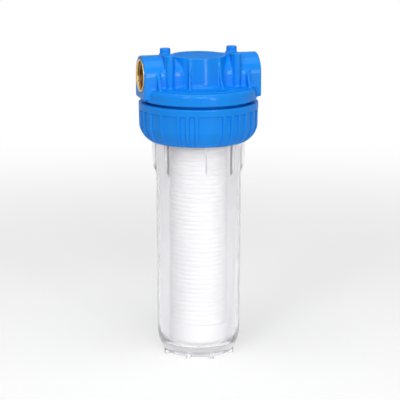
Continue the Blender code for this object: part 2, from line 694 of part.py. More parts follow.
def pin_shapes():
    """Round pins that hold a wall bracket in place."""
    bm = bmesh.new()
    outline = rod_outline(PIN_RADIUS, PORT_HEIGHT + PORT_RADIUS - PIN_RADIUS, PAD_TOP + PIN_LENGTH, PIN_EDGE)
    for x in (-PAD_CENTRE, PAD_CENTRE):
        add_turned(bm, outline, SMALL_FACETS, Matrix.Translation((x, 0.0, 0.0)))
    return bm


def chamber_shape():
    """Space under the head: a ring-shaped chamber round the seat and its spigot."""
    below = SKIRT_BOTTOM - CUT_REACH
    spigot_end = SEAT_HEIGHT - SPIGOT_LENGTH
    corner = (CHAMBER_RADIUS - CHAMBER_FILLET, CHAMBER_TOP - CHAMBER_FILLET)
    outline = [(0.0, below), (CHAMBER_RADIUS, below)]
    outline += arc(corner, (CHAMBER_FILLET, CHAMBER_FILLET), 0.0, 90.0, FILLET_STEPS)
    outline += [(SEAT_RADIUS, CHAMBER_TOP), (SEAT_RADIUS, SEAT_HEIGHT), (SPIGOT_RADIUS, SEAT_HEIGHT)]
    outline += [(SPIGOT_RADIUS, spigot_end + PIN_EDGE), (SPIGOT_RADIUS - PIN_EDGE, spigot_end)]
    outline += [(0.0, spigot_end)]
    return turned(outline, SHELL_FACETS, HALF_FACET)


def along_port(end):
    """Turns Z to point out of the port at this end of X, at the port's height."""
    return Matrix.Translation((0.0, 0.0, PORT_HEIGHT)) @ Matrix.Rotation(math.radians(90.0 * end), 4, "Y")


def pocket_shapes():
    """Stepped bores for the bushes, with the water channel behind each."""
    bm = bmesh.new()
    outside = BUSH_FACE + CUT_REACH
    for end, channel_end in ((-1, INLET_CHANNEL_END), (1, OUTLET_CHANNEL_END)):
        outline = [(0.0, channel_end), (CHANNEL_RADIUS, channel_end), (CHANNEL_RADIUS, POCKET_END)]
        outline += [(POCKET_RADIUS, POCKET_END), (POCKET_RADIUS, outside), (0.0, outside)]
        add_turned(bm, outline, BUSH_FACETS, along_port(end))
    return bm


def drop_shapes():
    """Upright bores: from the inlet down into the chamber, and up through the spigot."""
    bm = bmesh.new()
    add_turned(bm, rod_outline(SPIGOT_BORE, SKIRT_BOTTOM, PORT_HEIGHT), SMALL_FACETS)
    inlet = rod_outline(INLET_DROP_RADIUS, CHAMBER_TOP - CHAMBER_FILLET, PORT_HEIGHT)
    add_turned(bm, inlet, SMALL_FACETS, Matrix.Translation((-INLET_DROP_CENTRE, 0.0, 0.0)))
    return bm


def make_bush(name, end, material, parent):
    """Brass bush: open thread bore, collar at its inner end, groove for its seal."""
    groove = BUSH_RADIUS - BUSH_SEAL_SECTION
    collar_end = BUSH_FACE - BUSH_THREAD_LENGTH
    outline = [(BUSH_COLLAR_BORE, BUSH_START), (BUSH_RADIUS, BUSH_START), (BUSH_RADIUS, BUSH_SEAL_START)]
    outline += [(groove, BUSH_SEAL_START), (groove, BUSH_SEAL_END), (BUSH_RADIUS, BUSH_SEAL_END)]
    outline += [(BUSH_RADIUS, BUSH_FACE - PIN_EDGE), (BUSH_RADIUS - PIN_EDGE, BUSH_FACE)]
    outline += [(BUSH_BORE + BUSH_MOUTH_FLARE, BUSH_FACE), (BUSH_BORE, BUSH_FACE - BUSH_MOUTH_DEPTH)]
    outline += [(BUSH_BORE, collar_end), (BUSH_COLLAR_BORE, collar_end - BUSH_COLLAR_HEIGHT / 2)]
    return place(name, turned(outline, BUSH_FACETS, along_port(end)), material, parent)


def make_bush_seal(name, end, material, parent):
    inner = BUSH_RADIUS - BUSH_SEAL_SECTION + TOUCH_GAP
    outline = seal_outline(inner, BUSH_RADIUS, BUSH_SEAL_START + TOUCH_GAP, BUSH_SEAL_END - TOUCH_GAP)
    return place(name, turned(outline, BUSH_FACETS, along_port(end)), material, parent)


def main():
    clear_scene()
    blue = plastic("blue_polypropylene", (0.02, 0.21, 0.80), 0.32)
    clear = plastic("clear_bowl", (0.86, 0.86, 0.90), 0.06, alpha=0.3)
    white = plastic("white_polypropylene", (0.86, 0.87, 0.88), 0.75)
    core_white = plastic("core_polypropylene", (0.80, 0.81, 0.82), 0.45)
    brass = plastic("brass", (0.72, 0.48, 0.20), 0.28, metallic=1.0)
    black = plastic("black_rubber", (0.015, 0.015, 0.016), 0.55)
    foam = plastic("gasket_foam", (0.80, 0.80, 0.78), 0.8)

    axis = bpy.data.objects.new("axis", None)
    bpy.context.scene.collection.objects.link(axis)

    make_bowl(clear, axis)
    make_bowl_seal(black, axis)
    make_media(white, axis)
    make_core(core_white, axis)
    make_gasket("cartridge_bottom_gasket", GASKET_BOTTOM, foam, axis)
    make_gasket("cartridge_top_gasket", TOP_GASKET_BOTTOM, foam, axis)
    make_ring_nut(blue, axis)
    make_head(blue, axis)
    for end, port in ((-1, "inlet"), (1, "outlet")):
        make_bush(f"{port}_insert", end, brass, axis)
        make_bush_seal(f"{port}_insert_seal", end, black, axis)


main()
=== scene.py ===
"""Looks of the cartridge water filter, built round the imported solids, in metres, Z up."""

import math

import bmesh
import bpy
import numpy as np
from mathutils import Matrix, Vector


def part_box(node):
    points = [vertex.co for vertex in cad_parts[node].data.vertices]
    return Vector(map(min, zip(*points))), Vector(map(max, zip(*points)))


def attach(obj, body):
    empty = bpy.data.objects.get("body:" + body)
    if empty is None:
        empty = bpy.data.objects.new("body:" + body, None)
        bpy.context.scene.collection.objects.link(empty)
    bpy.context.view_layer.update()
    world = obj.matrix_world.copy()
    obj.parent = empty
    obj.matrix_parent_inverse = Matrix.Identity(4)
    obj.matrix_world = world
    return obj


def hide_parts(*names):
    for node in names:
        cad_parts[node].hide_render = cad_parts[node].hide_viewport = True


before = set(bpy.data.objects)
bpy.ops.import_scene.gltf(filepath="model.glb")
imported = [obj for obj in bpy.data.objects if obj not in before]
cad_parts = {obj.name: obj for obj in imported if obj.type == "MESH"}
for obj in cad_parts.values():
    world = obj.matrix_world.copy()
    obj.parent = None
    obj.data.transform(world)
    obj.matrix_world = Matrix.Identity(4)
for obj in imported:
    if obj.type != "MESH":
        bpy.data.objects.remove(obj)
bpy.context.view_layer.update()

MM = 0.001
FRONT = -90.0

# Places read from the solids
bowl_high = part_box("bowl")[1]
nut_low, nut_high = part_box("ring_nut")
head_low, head_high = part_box("head")
media_low, media_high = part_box("cartridge_media")
bush_low, bush_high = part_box("outlet_insert")
seal_low, seal_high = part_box("bowl_seal")
bush_seal_low, bush_seal_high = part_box("outlet_insert_seal")
PORT_HEIGHT = (bush_low.z + bush_high.z) / 2
PORT_REACH = head_high.x
NUT_TOP = nut_high.z
NUT_BOTTOM = nut_low.z
NUT_RADIUS = nut_high.x
SKIRT_BOTTOM = head_low.z
FLANGE_TOP = bowl_high.z
FLANGE_RADIUS = bowl_high.x
SKIRT_RADIUS = FLANGE_RADIUS

# Screw thread between head and ring nut
THREAD_PITCH = 6.0 * MM
THREAD_TURNS = 2.25
THREAD_DEPTH = 2.2 * MM
THREAD_ROOT = 2.8 * MM
THREAD_CREST = 1.4 * MM
THREAD_PLAY = 0.7 * MM
THREAD_RISE = 2.7 * MM
THREAD_FADE = 0.125

# Head above its skirt
RIM_BOTTOM = NUT_TOP + 2.8 * MM
RIM_TOP = PORT_HEIGHT - 13.5 * MM
RIM_RADIUS = NUT_RADIUS - 1.9 * MM
SHOULDER = 6.2 * MM
STEP_RADIUS = RIM_RADIUS - SHOULDER - 2.6 * MM
STEP_HEIGHT = 0.8 * MM
DOME_RADIUS = 29.7 * MM
DOME_FLAT = RIM_TOP + STEP_HEIGHT
DOME_FOOT_RADIUS = DOME_RADIUS + 1.5 * MM
DOME_FOOT_HEIGHT = DOME_FLAT + 6.6 * MM
DOME_FOOT_FLARE = 6.8 * MM
DISC_RADIUS = 26.5 * MM
DISC_DEPTH = 0.7 * MM
PORT_RADIUS = 21.0 * MM
PORT_EDGE = 1.0 * MM
PORT_FILLET = 2.2 * MM
DOME_TOP = PORT_HEIGHT + PORT_RADIUS - 1.1 * MM
BLOCK_BOTTOM = PORT_HEIGHT - PORT_RADIUS - 3.5 * MM
BLOCK_CORNER = 3.5 * MM
PAD_CENTRE = 36.3 * MM
PAD_HALF_WIDTH = 5.35 * MM
PAD_FRONT = PORT_RADIUS - 0.8 * MM
PAD_TOP = PORT_HEIGHT + PORT_RADIUS + 1.5 * MM
BOSS_RADIUS = 4.25 * MM
BOSS_TOP = PAD_TOP + 0.25 * MM
SCREW_HOLE_RADIUS = 1.6 * MM
SCREW_HOLE_DEPTH = 12.0 * MM
PIN_RADIUS = 5.6 * MM
PIN_ROOT = PORT_HEIGHT + 12.0 * MM
GUSSET_CENTRE = PORT_REACH - 15.0 * MM
GUSSET_HALF_WIDTH = 1.7 * MM
GUSSET_TOP = PORT_HEIGHT + 5.5 * MM
GUSSET_ROOT = PORT_RADIUS - 2.0 * MM
GUSSET_TIP = PORT_RADIUS + 10.0 * MM
GUSSET_FILLET = 1.2 * MM
DOME_FIN_ROOT_TURN = 33.0
DOME_FIN_SPLAY = 11.0
DOME_FIN_HALF_WIDTH = 1.15 * MM
DOME_FIN_LENGTH = 10.6 * MM
DOME_FIN_TOP = DOME_TOP - 1.6 * MM
DOME_FIN_ROOT = -2.0 * MM
DOME_FIN_FILLET = 2.4 * MM
POCKET_RADIUS = 17.9 * MM
POCKET_END = bush_low.x - 0.3 * MM
CHANNEL_RADIUS = 12.0 * MM
CHANNEL_END = 20.0 * MM
GRID_STEP = 0.77 * MM
TABLE_STEP = 0.25 * MM

# The sunk disc has less gloss: where that starts and ends, counted from the dome's top and from the axis
DULL_FROM = (-1.6 * MM, -0.9 * MM)
DULL_TO = (-0.5 * MM, -0.3 * MM)
DULL_EDGE = (25.5 * MM, 26.5 * MM)

# Chamber, seat and spigot in the head's skirt
CHAMBER_RADIUS = 45.5 * MM
CHAMBER_TOP = PORT_HEIGHT - 19.5 * MM
SEAT_RADIUS = 19.0 * MM
SEAT_HEIGHT = media_high.z + 3.3 * MM
SPIGOT_RADIUS = 12.5 * MM
SPIGOT_BORE = 9.5 * MM
SPIGOT_END = SEAT_HEIGHT - 11.0 * MM
BORE_TOP = CHAMBER_TOP + 4.0 * MM
SKIRT_JOIN = RIM_BOTTOM + 0.4 * MM

# Ring nut; angles in degrees, counted from the front
NUT_SECTORS = 3
RIB_PITCHES = (27.0, 9.0, 9.0, 10.0, 12.5, 15.5, 19.0, 9.0, 9.0)
NUT_TURN = -16.5
RIB_WIDTH = 3.8 * MM
FLANK_IN = 0.30 * MM
FLANK_OUT = 0.40 * MM
FLANK_COLUMNS = (-0.8 * MM, -FLANK_IN, -0.10 * MM, 0.15 * MM, FLANK_OUT, 0.9 * MM)
PANEL_MARGIN = 1.6 * MM
PANEL_COLUMN = 2.0
PANEL_DEPTH = 1.6 * MM
PANEL_TOP = NUT_TOP - 7.6 * MM
PANEL_BOTTOM = NUT_BOTTOM + 3.3 * MM
NUT_BORE = NUT_RADIUS - 6.8 * MM
LIP_BORE = 50.6 * MM
LIP_TOP = NUT_BOTTOM + 5.3 * MM
WAIST_RADIUS = NUT_RADIUS - 0.6 * MM
WAIST_HEIGHT = NUT_BOTTOM + 16.3 * MM

# Bowl
NECK_BORE = 43.3 * MM
MID_BORE = 42.5 * MM
LOW_BORE = 40.0 * MM
NECK_RADIUS = 45.9 * MM
MID_RADIUS = 45.3 * MM
LOW_RADIUS = 44.6 * MM
BASE_RING_RADIUS = 36.5 * MM
BASE_RING_BORE = 33.2 * MM
FOOT_DROP = 2.3 * MM
BOWL_UNDERSIDE = 8.3 * MM
BOWL_FLOOR = 12.7 * MM
FLOOR_CORNER = 8.5 * MM
CORNER_TOP = 32.0 * MM
FLANGE_BOTTOM = FLANGE_TOP - 7.7 * MM
MID_HEIGHT = FLANGE_BOTTOM - 46.3 * MM
GUIDE_RADIUS = 13.4 * MM
GUIDE_TIP_RADIUS = GUIDE_RADIUS - 1.6 * MM
GUIDE_TOP = BOWL_FLOOR + 11.5 * MM

# Fins under the bowl's flange, and feet; directions in degrees, counted from the front
FIN_DIRECTIONS = (-105.0, -60.0, -3.0, 35.0, 79.0, 122.0, 167.5, -149.5)
FIN_RADIUS = 49.9 * MM
FIN_WIDTH = 2.6 * MM
FIN_END = NUT_BOTTOM - 36.2 * MM
FIN_RUN_OUT = 9.5 * MM
FIN_TAPER = 1.2 * MM
FIN_CLEAR = 3.2 * MM
FIN_COLUMNS = (-2.8, -2.2, -1.7, -1.35, -1.05, -0.6, 0.0, 0.6, 1.05, 1.35, 1.7, 2.2, 2.8)
FOOT_TURN = -12.7
FOOT_HALF_SPREAD = 20.0
FOOT_INNER = 29.5 * MM
FOOT_OUTER = 39.3 * MM
FOOT_WIDTH = 4.8 * MM
FOOT_HEIGHT = 8.6 * MM
FOOT_EDGE = 0.6 * MM

# Seals and gaskets
SEAL_WIDTH = 5.0 * MM
SEAL_ROOM = 0.3 * MM
SEAL_GROOVE_DEPTH = 3.4 * MM
BUSH_SEAL_WIDTH = 1.9 * MM
GASKET_BORE = 14.2 * MM

# Cartridge
GROOVE_PITCH = 4.95 * MM
GROOVE_DEPTH = 0.84 * MM
GROOVE_WIDTH = 1.6 * MM
BAND_LENGTH = 20.0 * MM
BAND_STEP = 0.7 * MM
BULGE_DEPTH = 0.25 * MM
FUZZ_DEPTH = 0.06 * MM
MEDIA_BORE = 17.0 * MM

# Brass bushes and their pipe thread
PIPE_PITCH = 2.309 * MM
PIPE_DEPTH = 1.1 * MM
BUSH_BORE = 15.15 * MM
BUSH_COLLAR_BORE = 12.4 * MM
BUSH_RADIUS = bush_high.z - PORT_HEIGHT
BUSH_THREAD_LENGTH = 17.0 * MM
BUSH_GROOVE_DEPTH = 2.2 * MM
BUSH_MOUTH = 1.3 * MM
BUSH_BEVEL = 1.4 * MM

# Camera, as the picture was taken
CAMERA_AZIMUTH = -15.0
CAMERA_DISTANCE = 2.0
CAMERA_HEIGHT = 0.602
CAMERA_PITCH = 12.27
CAMERA_LENS = 171.4
CAMERA_ASIDE = 1.65 * MM
CAMERA_SIGHT = 60.0
SENSOR = 36.0

# Floor and world
FLOOR_SIZE = 14.0
FLOOR_GREYS = (0.795, 0.805)
FLOOR_LIFT = 0.31
FADE_START = 0.35
FADE_END = 1.3
WORLD_GREY = 0.8
WORLD_STRENGTH = 0.325

# Soft boxes: angle from the camera's side, angle above level, distance, width and height, watts
LAMP_TARGET = (0.0, 0.0, 0.2)
LAMPS = {
    "top_box": (0.0, 78.0, 1.6, (1.6, 1.2), 12.0),
    "front_box": (8.0, 26.0, 2.6, (1.0, 0.8), 14.5),
    "left_box": (-24.0, 30.0, 1.8, (0.4, 1.4), 6.5),
    "right_box": (29.0, 7.0, 3.0, (0.26, 1.0), 15.0),
}


def polar(radius, degrees, z=0.0):
    """A point at an angle from the front, counted towards +X."""
    angle = math.radians(FRONT + degrees)
    return Vector((radius * math.cos(angle), radius * math.sin(angle), z))


class Value:
    """An output socket of a node, for use in Python arithmetic."""

    def __init__(self, nodes, socket):
        self.nodes = nodes
        self.socket = socket

    def output(self, name):
        """Another output of the same node."""
        return Value(self.nodes, self.socket.node.outputs[name])

    def math(self, operation, first, second=None):
        values = {0: first} if second is None else {0: first, 1: second}
        return self.nodes.node("ShaderNodeMath", {"operation": operation}, values)

    def __add__(self, other):
        return self.math("ADD", self, other)

    def __radd__(self, other):
        return self.math("ADD", other, self)

    def __sub__(self, other):
        return self.math("SUBTRACT", self, other)

    def __rsub__(self, other):
        return self.math("SUBTRACT", other, self)

    def __mul__(self, other):
        return self.math("MULTIPLY", self, other)

    def __rmul__(self, other):
        return self.math("MULTIPLY", other, self)

    def __abs__(self):
        return self.math("ABSOLUTE", self)

    def sine(self):
        return self.math("SINE", self)

    def or_else(self, other):
        """The larger of two values, so 1 where either is 1."""
        return self.math("MAXIMUM", self, other)

    def between(self, low, high):
        """0 at low, 1 at high, with a soft start and end."""
        values = {"Value": self, "From Min": low, "From Max": high}
        return self.nodes.node("ShaderNodeMapRange", {"interpolation_type": "SMOOTHSTEP"}, values)


class Nodes:
    """A tree of shader nodes, grown through one method."""

    def __init__(self, tree):
        self.tree = tree

    def node(self, kind, settings=None, values=None, output=0):
        """A new node: its settings come first, then the values or links of its sockets."""
        made = self.tree.nodes.new(kind)
        for name, setting in (settings or {}).items():
            if name == "stops":
                self.set_stops(made.color_ramp, setting)
            else:
                setattr(made, name, setting)
        for key, value in (values or {}).items():
            self.feed(made.inputs[key], value)
        return Value(self, made.outputs[output])

    def set_stops(self, ramp, stops):
        while len(ramp.elements) < len(stops):
            ramp.elements.new(1.0)
        for element, (place, color) in zip(ramp.elements, stops):
            element.position = place
            element.color = (*color, 1.0)

    def feed(self, socket, value):
        if isinstance(value, Value):
            self.tree.links.new(value.socket, socket)
        else:
            socket.default_value = value


class Finish(Nodes):
    """A material on one Principled shader, and the nodes that vary it over the surface."""

    def __init__(self, name, **constants):
        self.material = bpy.data.materials.new(name)
        self.material.use_nodes = True
        super().__init__(self.material.node_tree)
        self.shader = self.tree.nodes["Principled BSDF"]
        self.lit = Value(self, self.shader.outputs[0])
        for words, value in constants.items():
            socket = words.replace("_", " ").title().replace("Ior", "IOR")
            self.shader.inputs[socket].default_value = value

    def place(self):
        """Where a point lies on the piece, in metres, in the piece's own frame."""
        return self.node("ShaderNodeTexCoord", output="Object")

    def parts(self, vector):
        x = self.node("ShaderNodeSeparateXYZ", None, {0: vector})
        return x, x.output("Y"), x.output("Z")

    def stretched(self, vector, scale):
        return self.node("ShaderNodeVectorMath", {"operation": "MULTIPLY"}, {0: vector, 1: scale})

    def noise(self, vector, scale, detail=3.0, roughness=0.5):
        values = {"Vector": vector, "Scale": scale, "Detail": detail, "Roughness": roughness}
        return self.node("ShaderNodeTexNoise", None, values, "Fac")

    def ramp(self, factor, *stops):
        return self.node("ShaderNodeValToRGB", {"stops": stops}, {"Fac": factor})

    def blend(self, factor, first, second):
        """Mix of two colours, given as (r, g, b) or as a value."""
        first, second = ((*c, 1.0) if isinstance(c, tuple) else c for c in (first, second))
        return self.node("ShaderNodeMix", {"data_type": "RGBA"}, {0: factor, 6: first, 7: second}, 2)

    def relief(self, height, distance, strength=1.0):
        """Fine relief that is too small for the mesh."""
        values = {"Height": height, "Distance": distance, "Strength": strength}
        self.vary("Normal", self.node("ShaderNodeBump", None, values))

    def vary(self, name, value):
        self.feed(self.shader.inputs[name], value)

    def show_mix(self, share, first, second):
        """Shows a mix of two shaders, all of the second where share is 1."""
        mixed = self.node("ShaderNodeMixShader", None, {0: share, 1: first, 2: second})
        self.feed(self.tree.nodes["Material Output"].inputs["Surface"], mixed)

    def let_light_through(self, share):
        """Lets this share of the light pass straight on to what stands behind the surface."""
        shadow_ray = self.node("ShaderNodeLightPath", output="Is Shadow Ray")
        self.show_mix(share * shadow_ray, self.lit, self.node("ShaderNodeBsdfTransparent"))


def moulded_blue():
    """Glossy blue polypropylene with a faint flow pattern and a skin like fine peel."""
    finish = Finish("moulded_blue", specular_ior_level=0.0, coat_ior=1.49, coat_roughness=0.20)
    place = finish.place()
    x, y, z = finish.parts(place)
    above = z - DOME_TOP
    inner, outer = DULL_EDGE
    sunk_disc = above.between(*DULL_FROM) * (1.0 - above.between(*DULL_TO))
    sunk_disc = sunk_disc * (1.0 - (x * x + y * y).between(inner**2, outer**2))
    flow = finish.noise(finish.stretched(place, (1.0, 1.0, 0.35)), 24.0, 4.0, 0.6)
    skin = finish.noise(place, 900.0, 2.0)
    scuffs = finish.noise(finish.stretched(place, (1.0, 1.0, 5.0)), 260.0, 5.0, 0.7).between(0.60, 0.74)
    blue = finish.ramp(flow, (0.25, (0.003, 0.228, 0.775)), (0.75, (0.006, 0.268, 0.875)))
    finish.vary("Base Color", blue)
    finish.vary("Roughness", 0.45 + 0.10 * flow)
    finish.vary("Coat Weight", 0.36 - 0.10 * scuffs - 0.24 * sunk_disc)
    finish.relief(skin + 2.0 * flow, 0.02 * MM, 0.6)
    return finish


def clear_plastic():
    """Clear bowl plastic with a slight grey-violet haze and soft draw marks down its length."""
    finish = Finish("clear_plastic", transmission_weight=0.88, ior=1.45, specular_ior_level=0.5)
    place = finish.place()
    draw = finish.noise(finish.stretched(place, (1.0, 1.0, 0.03)), 160.0, 2.0)
    haze = finish.noise(place, 35.0, 3.0)
    finish.vary("Base Color", finish.ramp(haze, (0.3, (0.890, 0.884, 0.906)), (0.7, (0.920, 0.915, 0.932))))
    finish.vary("Roughness", 0.06 + 0.08 * haze)
    finish.relief(draw, 0.03 * MM, 0.5)
    finish.let_light_through(0.86)
    return finish


def blown_fibre():
    """White melt-blown fibre: matt and a little fuzzy, its strands wound nearly level."""
    finish = Finish("blown_fibre", specular_ior_level=0.25)
    place = finish.place()
    strands = finish.noise(finish.stretched(place, (1.0, 1.0, 6.0)), 420.0, 6.0, 0.7)
    cloud = finish.noise(place, 45.0, 3.0)
    fibre = finish.ramp(strands, (0.30, (0.80, 0.80, 0.805)), (0.62, (0.88, 0.88, 0.88)))
    finish.vary("Base Color", finish.blend(0.25 * cloud, fibre, (0.86, 0.855, 0.845)))
    finish.vary("Roughness", 0.80 + 0.15 * strands)
    finish.relief(strands, 0.20 * MM, 0.6)
    return finish


def core_plastic():
    """Plain white moulding of the cartridge's core."""
    finish = Finish("core_plastic", specular_ior_level=0.4)
    place = finish.place()
    cloud = finish.noise(place, 60.0, 4.0)
    finish.vary("Base Color", finish.ramp(cloud, (0.3, (0.78, 0.79, 0.80)), (0.7, (0.86, 0.87, 0.87))))
    finish.vary("Roughness", 0.40 + 0.12 * cloud)
    finish.relief(finish.noise(place, 800.0), 0.02 * MM, 0.5)
    return finish


def turned_brass():
    """Turned brass: fine tool marks round the bore, bright at the face, with shade painted into the bore as
    a dark brown.
    """
    finish = Finish("turned_brass", metallic=1.0)
    place = finish.place()
    x = finish.parts(place)[0]
    tool = (x * 14000.0 + 3.0 * finish.noise(place, 120.0)).sine()
    dull = finish.noise(place, 130.0, 5.0, 0.65)
    bright = finish.ramp(dull, (0.30, (0.62, 0.40, 0.15)), (0.65, (0.80, 0.58, 0.27)))
    # Painted shade: a dark brown base colour, blended in by depth into the bore below
    bore_painted_shade = finish.ramp(dull, (0.30, (0.17, 0.085, 0.030)), (0.65, (0.36, 0.20, 0.075)))
    depth = (bush_high.x - abs(x)).between(0.6 * MM, 3.2 * MM)
    finish.vary("Base Color", finish.blend(depth, bright, bore_painted_shade))
    finish.vary("Roughness", 0.22 + 0.18 * dull + 0.04 * tool)
    finish.relief(tool, 0.01 * MM, 0.6)
    return finish


def seal_rubber():
    """Matt black rubber with a faint bloom."""
    finish = Finish("seal_rubber", specular_ior_level=0.35)
    place = finish.place()
    bloom = finish.noise(place, 180.0, 5.0, 0.65)
    finish.vary("Base Color", finish.ramp(bloom, (0.3, (0.010, 0.010, 0.011)), (0.8, (0.030, 0.030, 0.031))))
    finish.vary("Roughness", 0.50 + 0.20 * bloom)
    finish.relief(finish.noise(place, 1500.0), 0.02 * MM, 0.5)
    return finish


def gasket_foam():
    """Pale closed-cell foam."""
    finish = Finish("gasket_foam", specular_ior_level=0.25)
    place = finish.place()
    cells = finish.node("ShaderNodeTexVoronoi", None, {"Vector": place, "Scale": 1400.0}, "Distance")
    cloud = finish.noise(place, 90.0, 3.0)
    finish.vary("Base Color", finish.ramp(cloud, (0.3, (0.74, 0.74, 0.71)), (0.7, (0.84, 0.84, 0.81))))
    finish.vary("Roughness", 0.75 + 0.15 * cloud)
    finish.relief(cells, 0.15 * MM, 0.7)
    return finish


def make_piece(name, points, faces, finish, body, crease=38.0):
    """A closed mesh that rides on its body; round faces are smooth up to the crease angle."""
    mesh = bpy.data.meshes.new(name)
    mesh.from_pydata(points, [], faces)
    bm = bmesh.new()
    bm.from_mesh(mesh)
    bmesh.ops.recalc_face_normals(bm, faces=bm.faces)
    bm.to_mesh(mesh)
    bm.free()
    mesh.shade_smooth()
    if crease:
        mesh.set_sharp_from_angle(angle=math.radians(crease))
    mesh.materials.append(finish.material)
    piece = bpy.data.objects.new(name, mesh)
    bpy.context.scene.collection.objects.link(piece)
    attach(piece, body)
    return piece


def softened(corners, steps=4):
    """Outline through corners given as (radius, height, rounding), each rounded off."""
    points = []
    for before, corner, after in zip(corners[-1:] + corners[:-1], corners, corners[1:] + corners[:1]):
        middle = Vector(corner[:2])
        if len(corner) < 3:
            points.append(tuple(middle))
            continue
        back = Vector(before[:2]) - middle
        ahead = Vector(after[:2]) - middle
        start = middle + back.normalized() * min(corner[2], back.length * 0.45)
        end = middle + ahead.normalized() * min(corner[2], ahead.length * 0.45)
        for step in range(steps + 1):
            t = step / steps
            points.append(tuple(start * (1 - t) ** 2 + middle * 2 * t * (1 - t) + end * t**2))
    return points


def curve(start, control, end, steps):
    """Points on a quadratic curve."""
    points = []
    for step in range(steps + 1):
        t = step / steps
        points.append(tuple(
            (1 - t) ** 2 * a + 2 * t * (1 - t) * b + t**2 * c for a, b, c in zip(start, control, end)
        ))
    return points


def arc_of_ellipse(centre, radii, start, end, steps):
    """Points on an ellipse from one angle to another, in degrees."""
    points = []
    for step in range(steps + 1):
        angle = math.radians(start + (end - start) * step / steps)
        points.append((centre[0] + radii[0] * math.cos(angle), centre[1] + radii[1] * math.sin(angle)))
    return points


def finely(points, spacing):
    """The same closed outline with its long edges divided."""
    fine = []
    for start, end in zip(points, points[1:] + points[:1]):
        pieces = max(1, math.ceil(math.dist(start, end) / spacing))
        for index in range(pieces):
            t = index / pieces
            fine.append((start[0] + (end[0] - start[0]) * t, start[1] + (end[1] - start[1]) * t))
    return fine


def even_angles(count):
    return np.arange(count) * math.tau / count


def in_order(angles):
    """Angles round a piece, from 0 up to one turn, each once."""
    return np.unique(np.round(np.array(angles) % math.tau, 6))


def angle_between(first, second):
    """Angle from the second to the first, the short way round."""
    return (first - second + math.pi) % math.tau - math.pi


def turned(outline, angles, reshape=None, matrix=None):
    """Points and faces of an outline of (radius, z) turned round Z; reshape may move the radii."""
    radius = np.array([point[0] for point in outline])
    height = np.array([point[1] for point in outline])
    grid = np.repeat(radius[None, :], len(angles), axis=0)
    if reshape:
        grid = np.where(grid > 0, reshape(grid, height[None, :], angles[:, None]), 0.0)
    rows, columns = grid.shape
    number = np.arange(rows * columns).reshape(rows, columns)
    number[:, radius == 0] = number[0, radius == 0]
    x = grid * np.cos(angles)[:, None]
    y = grid * np.sin(angles)[:, None]
    points = np.stack([x, y, np.broadcast_to(height, grid.shape)], -1).reshape(-1, 3)
    if matrix is not None:
        turn = np.array(matrix)
        points = points @ turn[:3, :3].T + turn[:3, 3]
    following = np.roll(number, -1, axis=0)
    quads = np.stack([number, following, np.roll(following, -1, axis=1), np.roll(number, -1, axis=1)], -1)
    used, compact = np.unique(quads.reshape(-1, 4), return_inverse=True)
    faces = []
    for face in compact.reshape(-1, 4).tolist():
        face = list(dict.fromkeys(face))
        if len(face) > 2:
            faces.append(face)
    return points[used], faces


def helix_height(height, angles, start, pitch, turns, root, crest, fade):
    """Share of full height, 0 to 1, of a screw ridge at each point of a turned skin."""
    along = (height - start) / pitch - angles / math.tau
    share = np.zeros(np.broadcast(height, angles).shape)
    for turn in range(math.ceil(turns) + 1):
        travelled = angles / math.tau + turn
        off = np.abs(along - turn) * pitch
        flank = np.clip((root / 2 - off) / (root / 2 - crest / 2), 0.0, 1.0)
        ends = np.clip(np.minimum(travelled, turns - travelled) / fade, 0.0, 1.0)
        share = np.maximum(share, flank * ends)
    return share


def screw_ridge(height, angles, start):
    """How far the screw thread of the head or the nut stands out of its skin."""
    form = (THREAD_PITCH, THREAD_TURNS, THREAD_ROOT, THREAD_CREST, THREAD_FADE)
    return helix_height(height, angles, start, *form) * THREAD_DEPTH


def smooth_step(value, low, high):
    """0 at low, 1 at high, with a soft start and end."""
    t = np.clip((value - low) / (high - low), 0.0, 1.0)
    return t * t * (3 - 2 * t)


def profile_distance(outline, across, up):
    """Signed distance from points of a plane to a closed outline, negative inside."""
    nearest = np.full(np.broadcast(across, up).shape, np.inf)
    inside = np.zeros(nearest.shape, bool)
    for (ax, ay), (bx, by) in zip(outline, outline[1:] + outline[:1]):
        ex, ey = bx - ax, by - ay
        px, py = across - ax, up - ay
        t = np.clip((px * ex + py * ey) / (ex * ex + ey * ey + 1e-18), 0.0, 1.0)
        nearest = np.minimum(nearest, (px - t * ex) ** 2 + (py - t * ey) ** 2)
        if ay != by:
            crosses = ((ay > up) != (by > up)) & (across < ex * (up - ay) / ey + ax)
            inside ^= crosses
    return np.where(inside, -1.0, 1.0) * np.sqrt(nearest)


def merged(first, second, fillet):
    """Union of two distance fields with a fillet where they meet."""
    share = np.clip(0.5 + 0.5 * (second - first) / fillet, 0.0, 1.0)
    return second + (first - second) * share - fillet * share * (1 - share)


def carved(field, tool, fillet):
    """A distance field with a tool cut away and the edge of the cut softened."""
    return -merged(-field, tool, fillet)


def extruded(profile, off, rounding):
    """Distance to a profile pushed through a slab; off is the distance outside the slab's faces."""
    a, b = profile + rounding, off + rounding
    return np.minimum(np.maximum(a, b), 0.0) + np.hypot(np.maximum(a, 0.0), np.maximum(b, 0.0)) - rounding


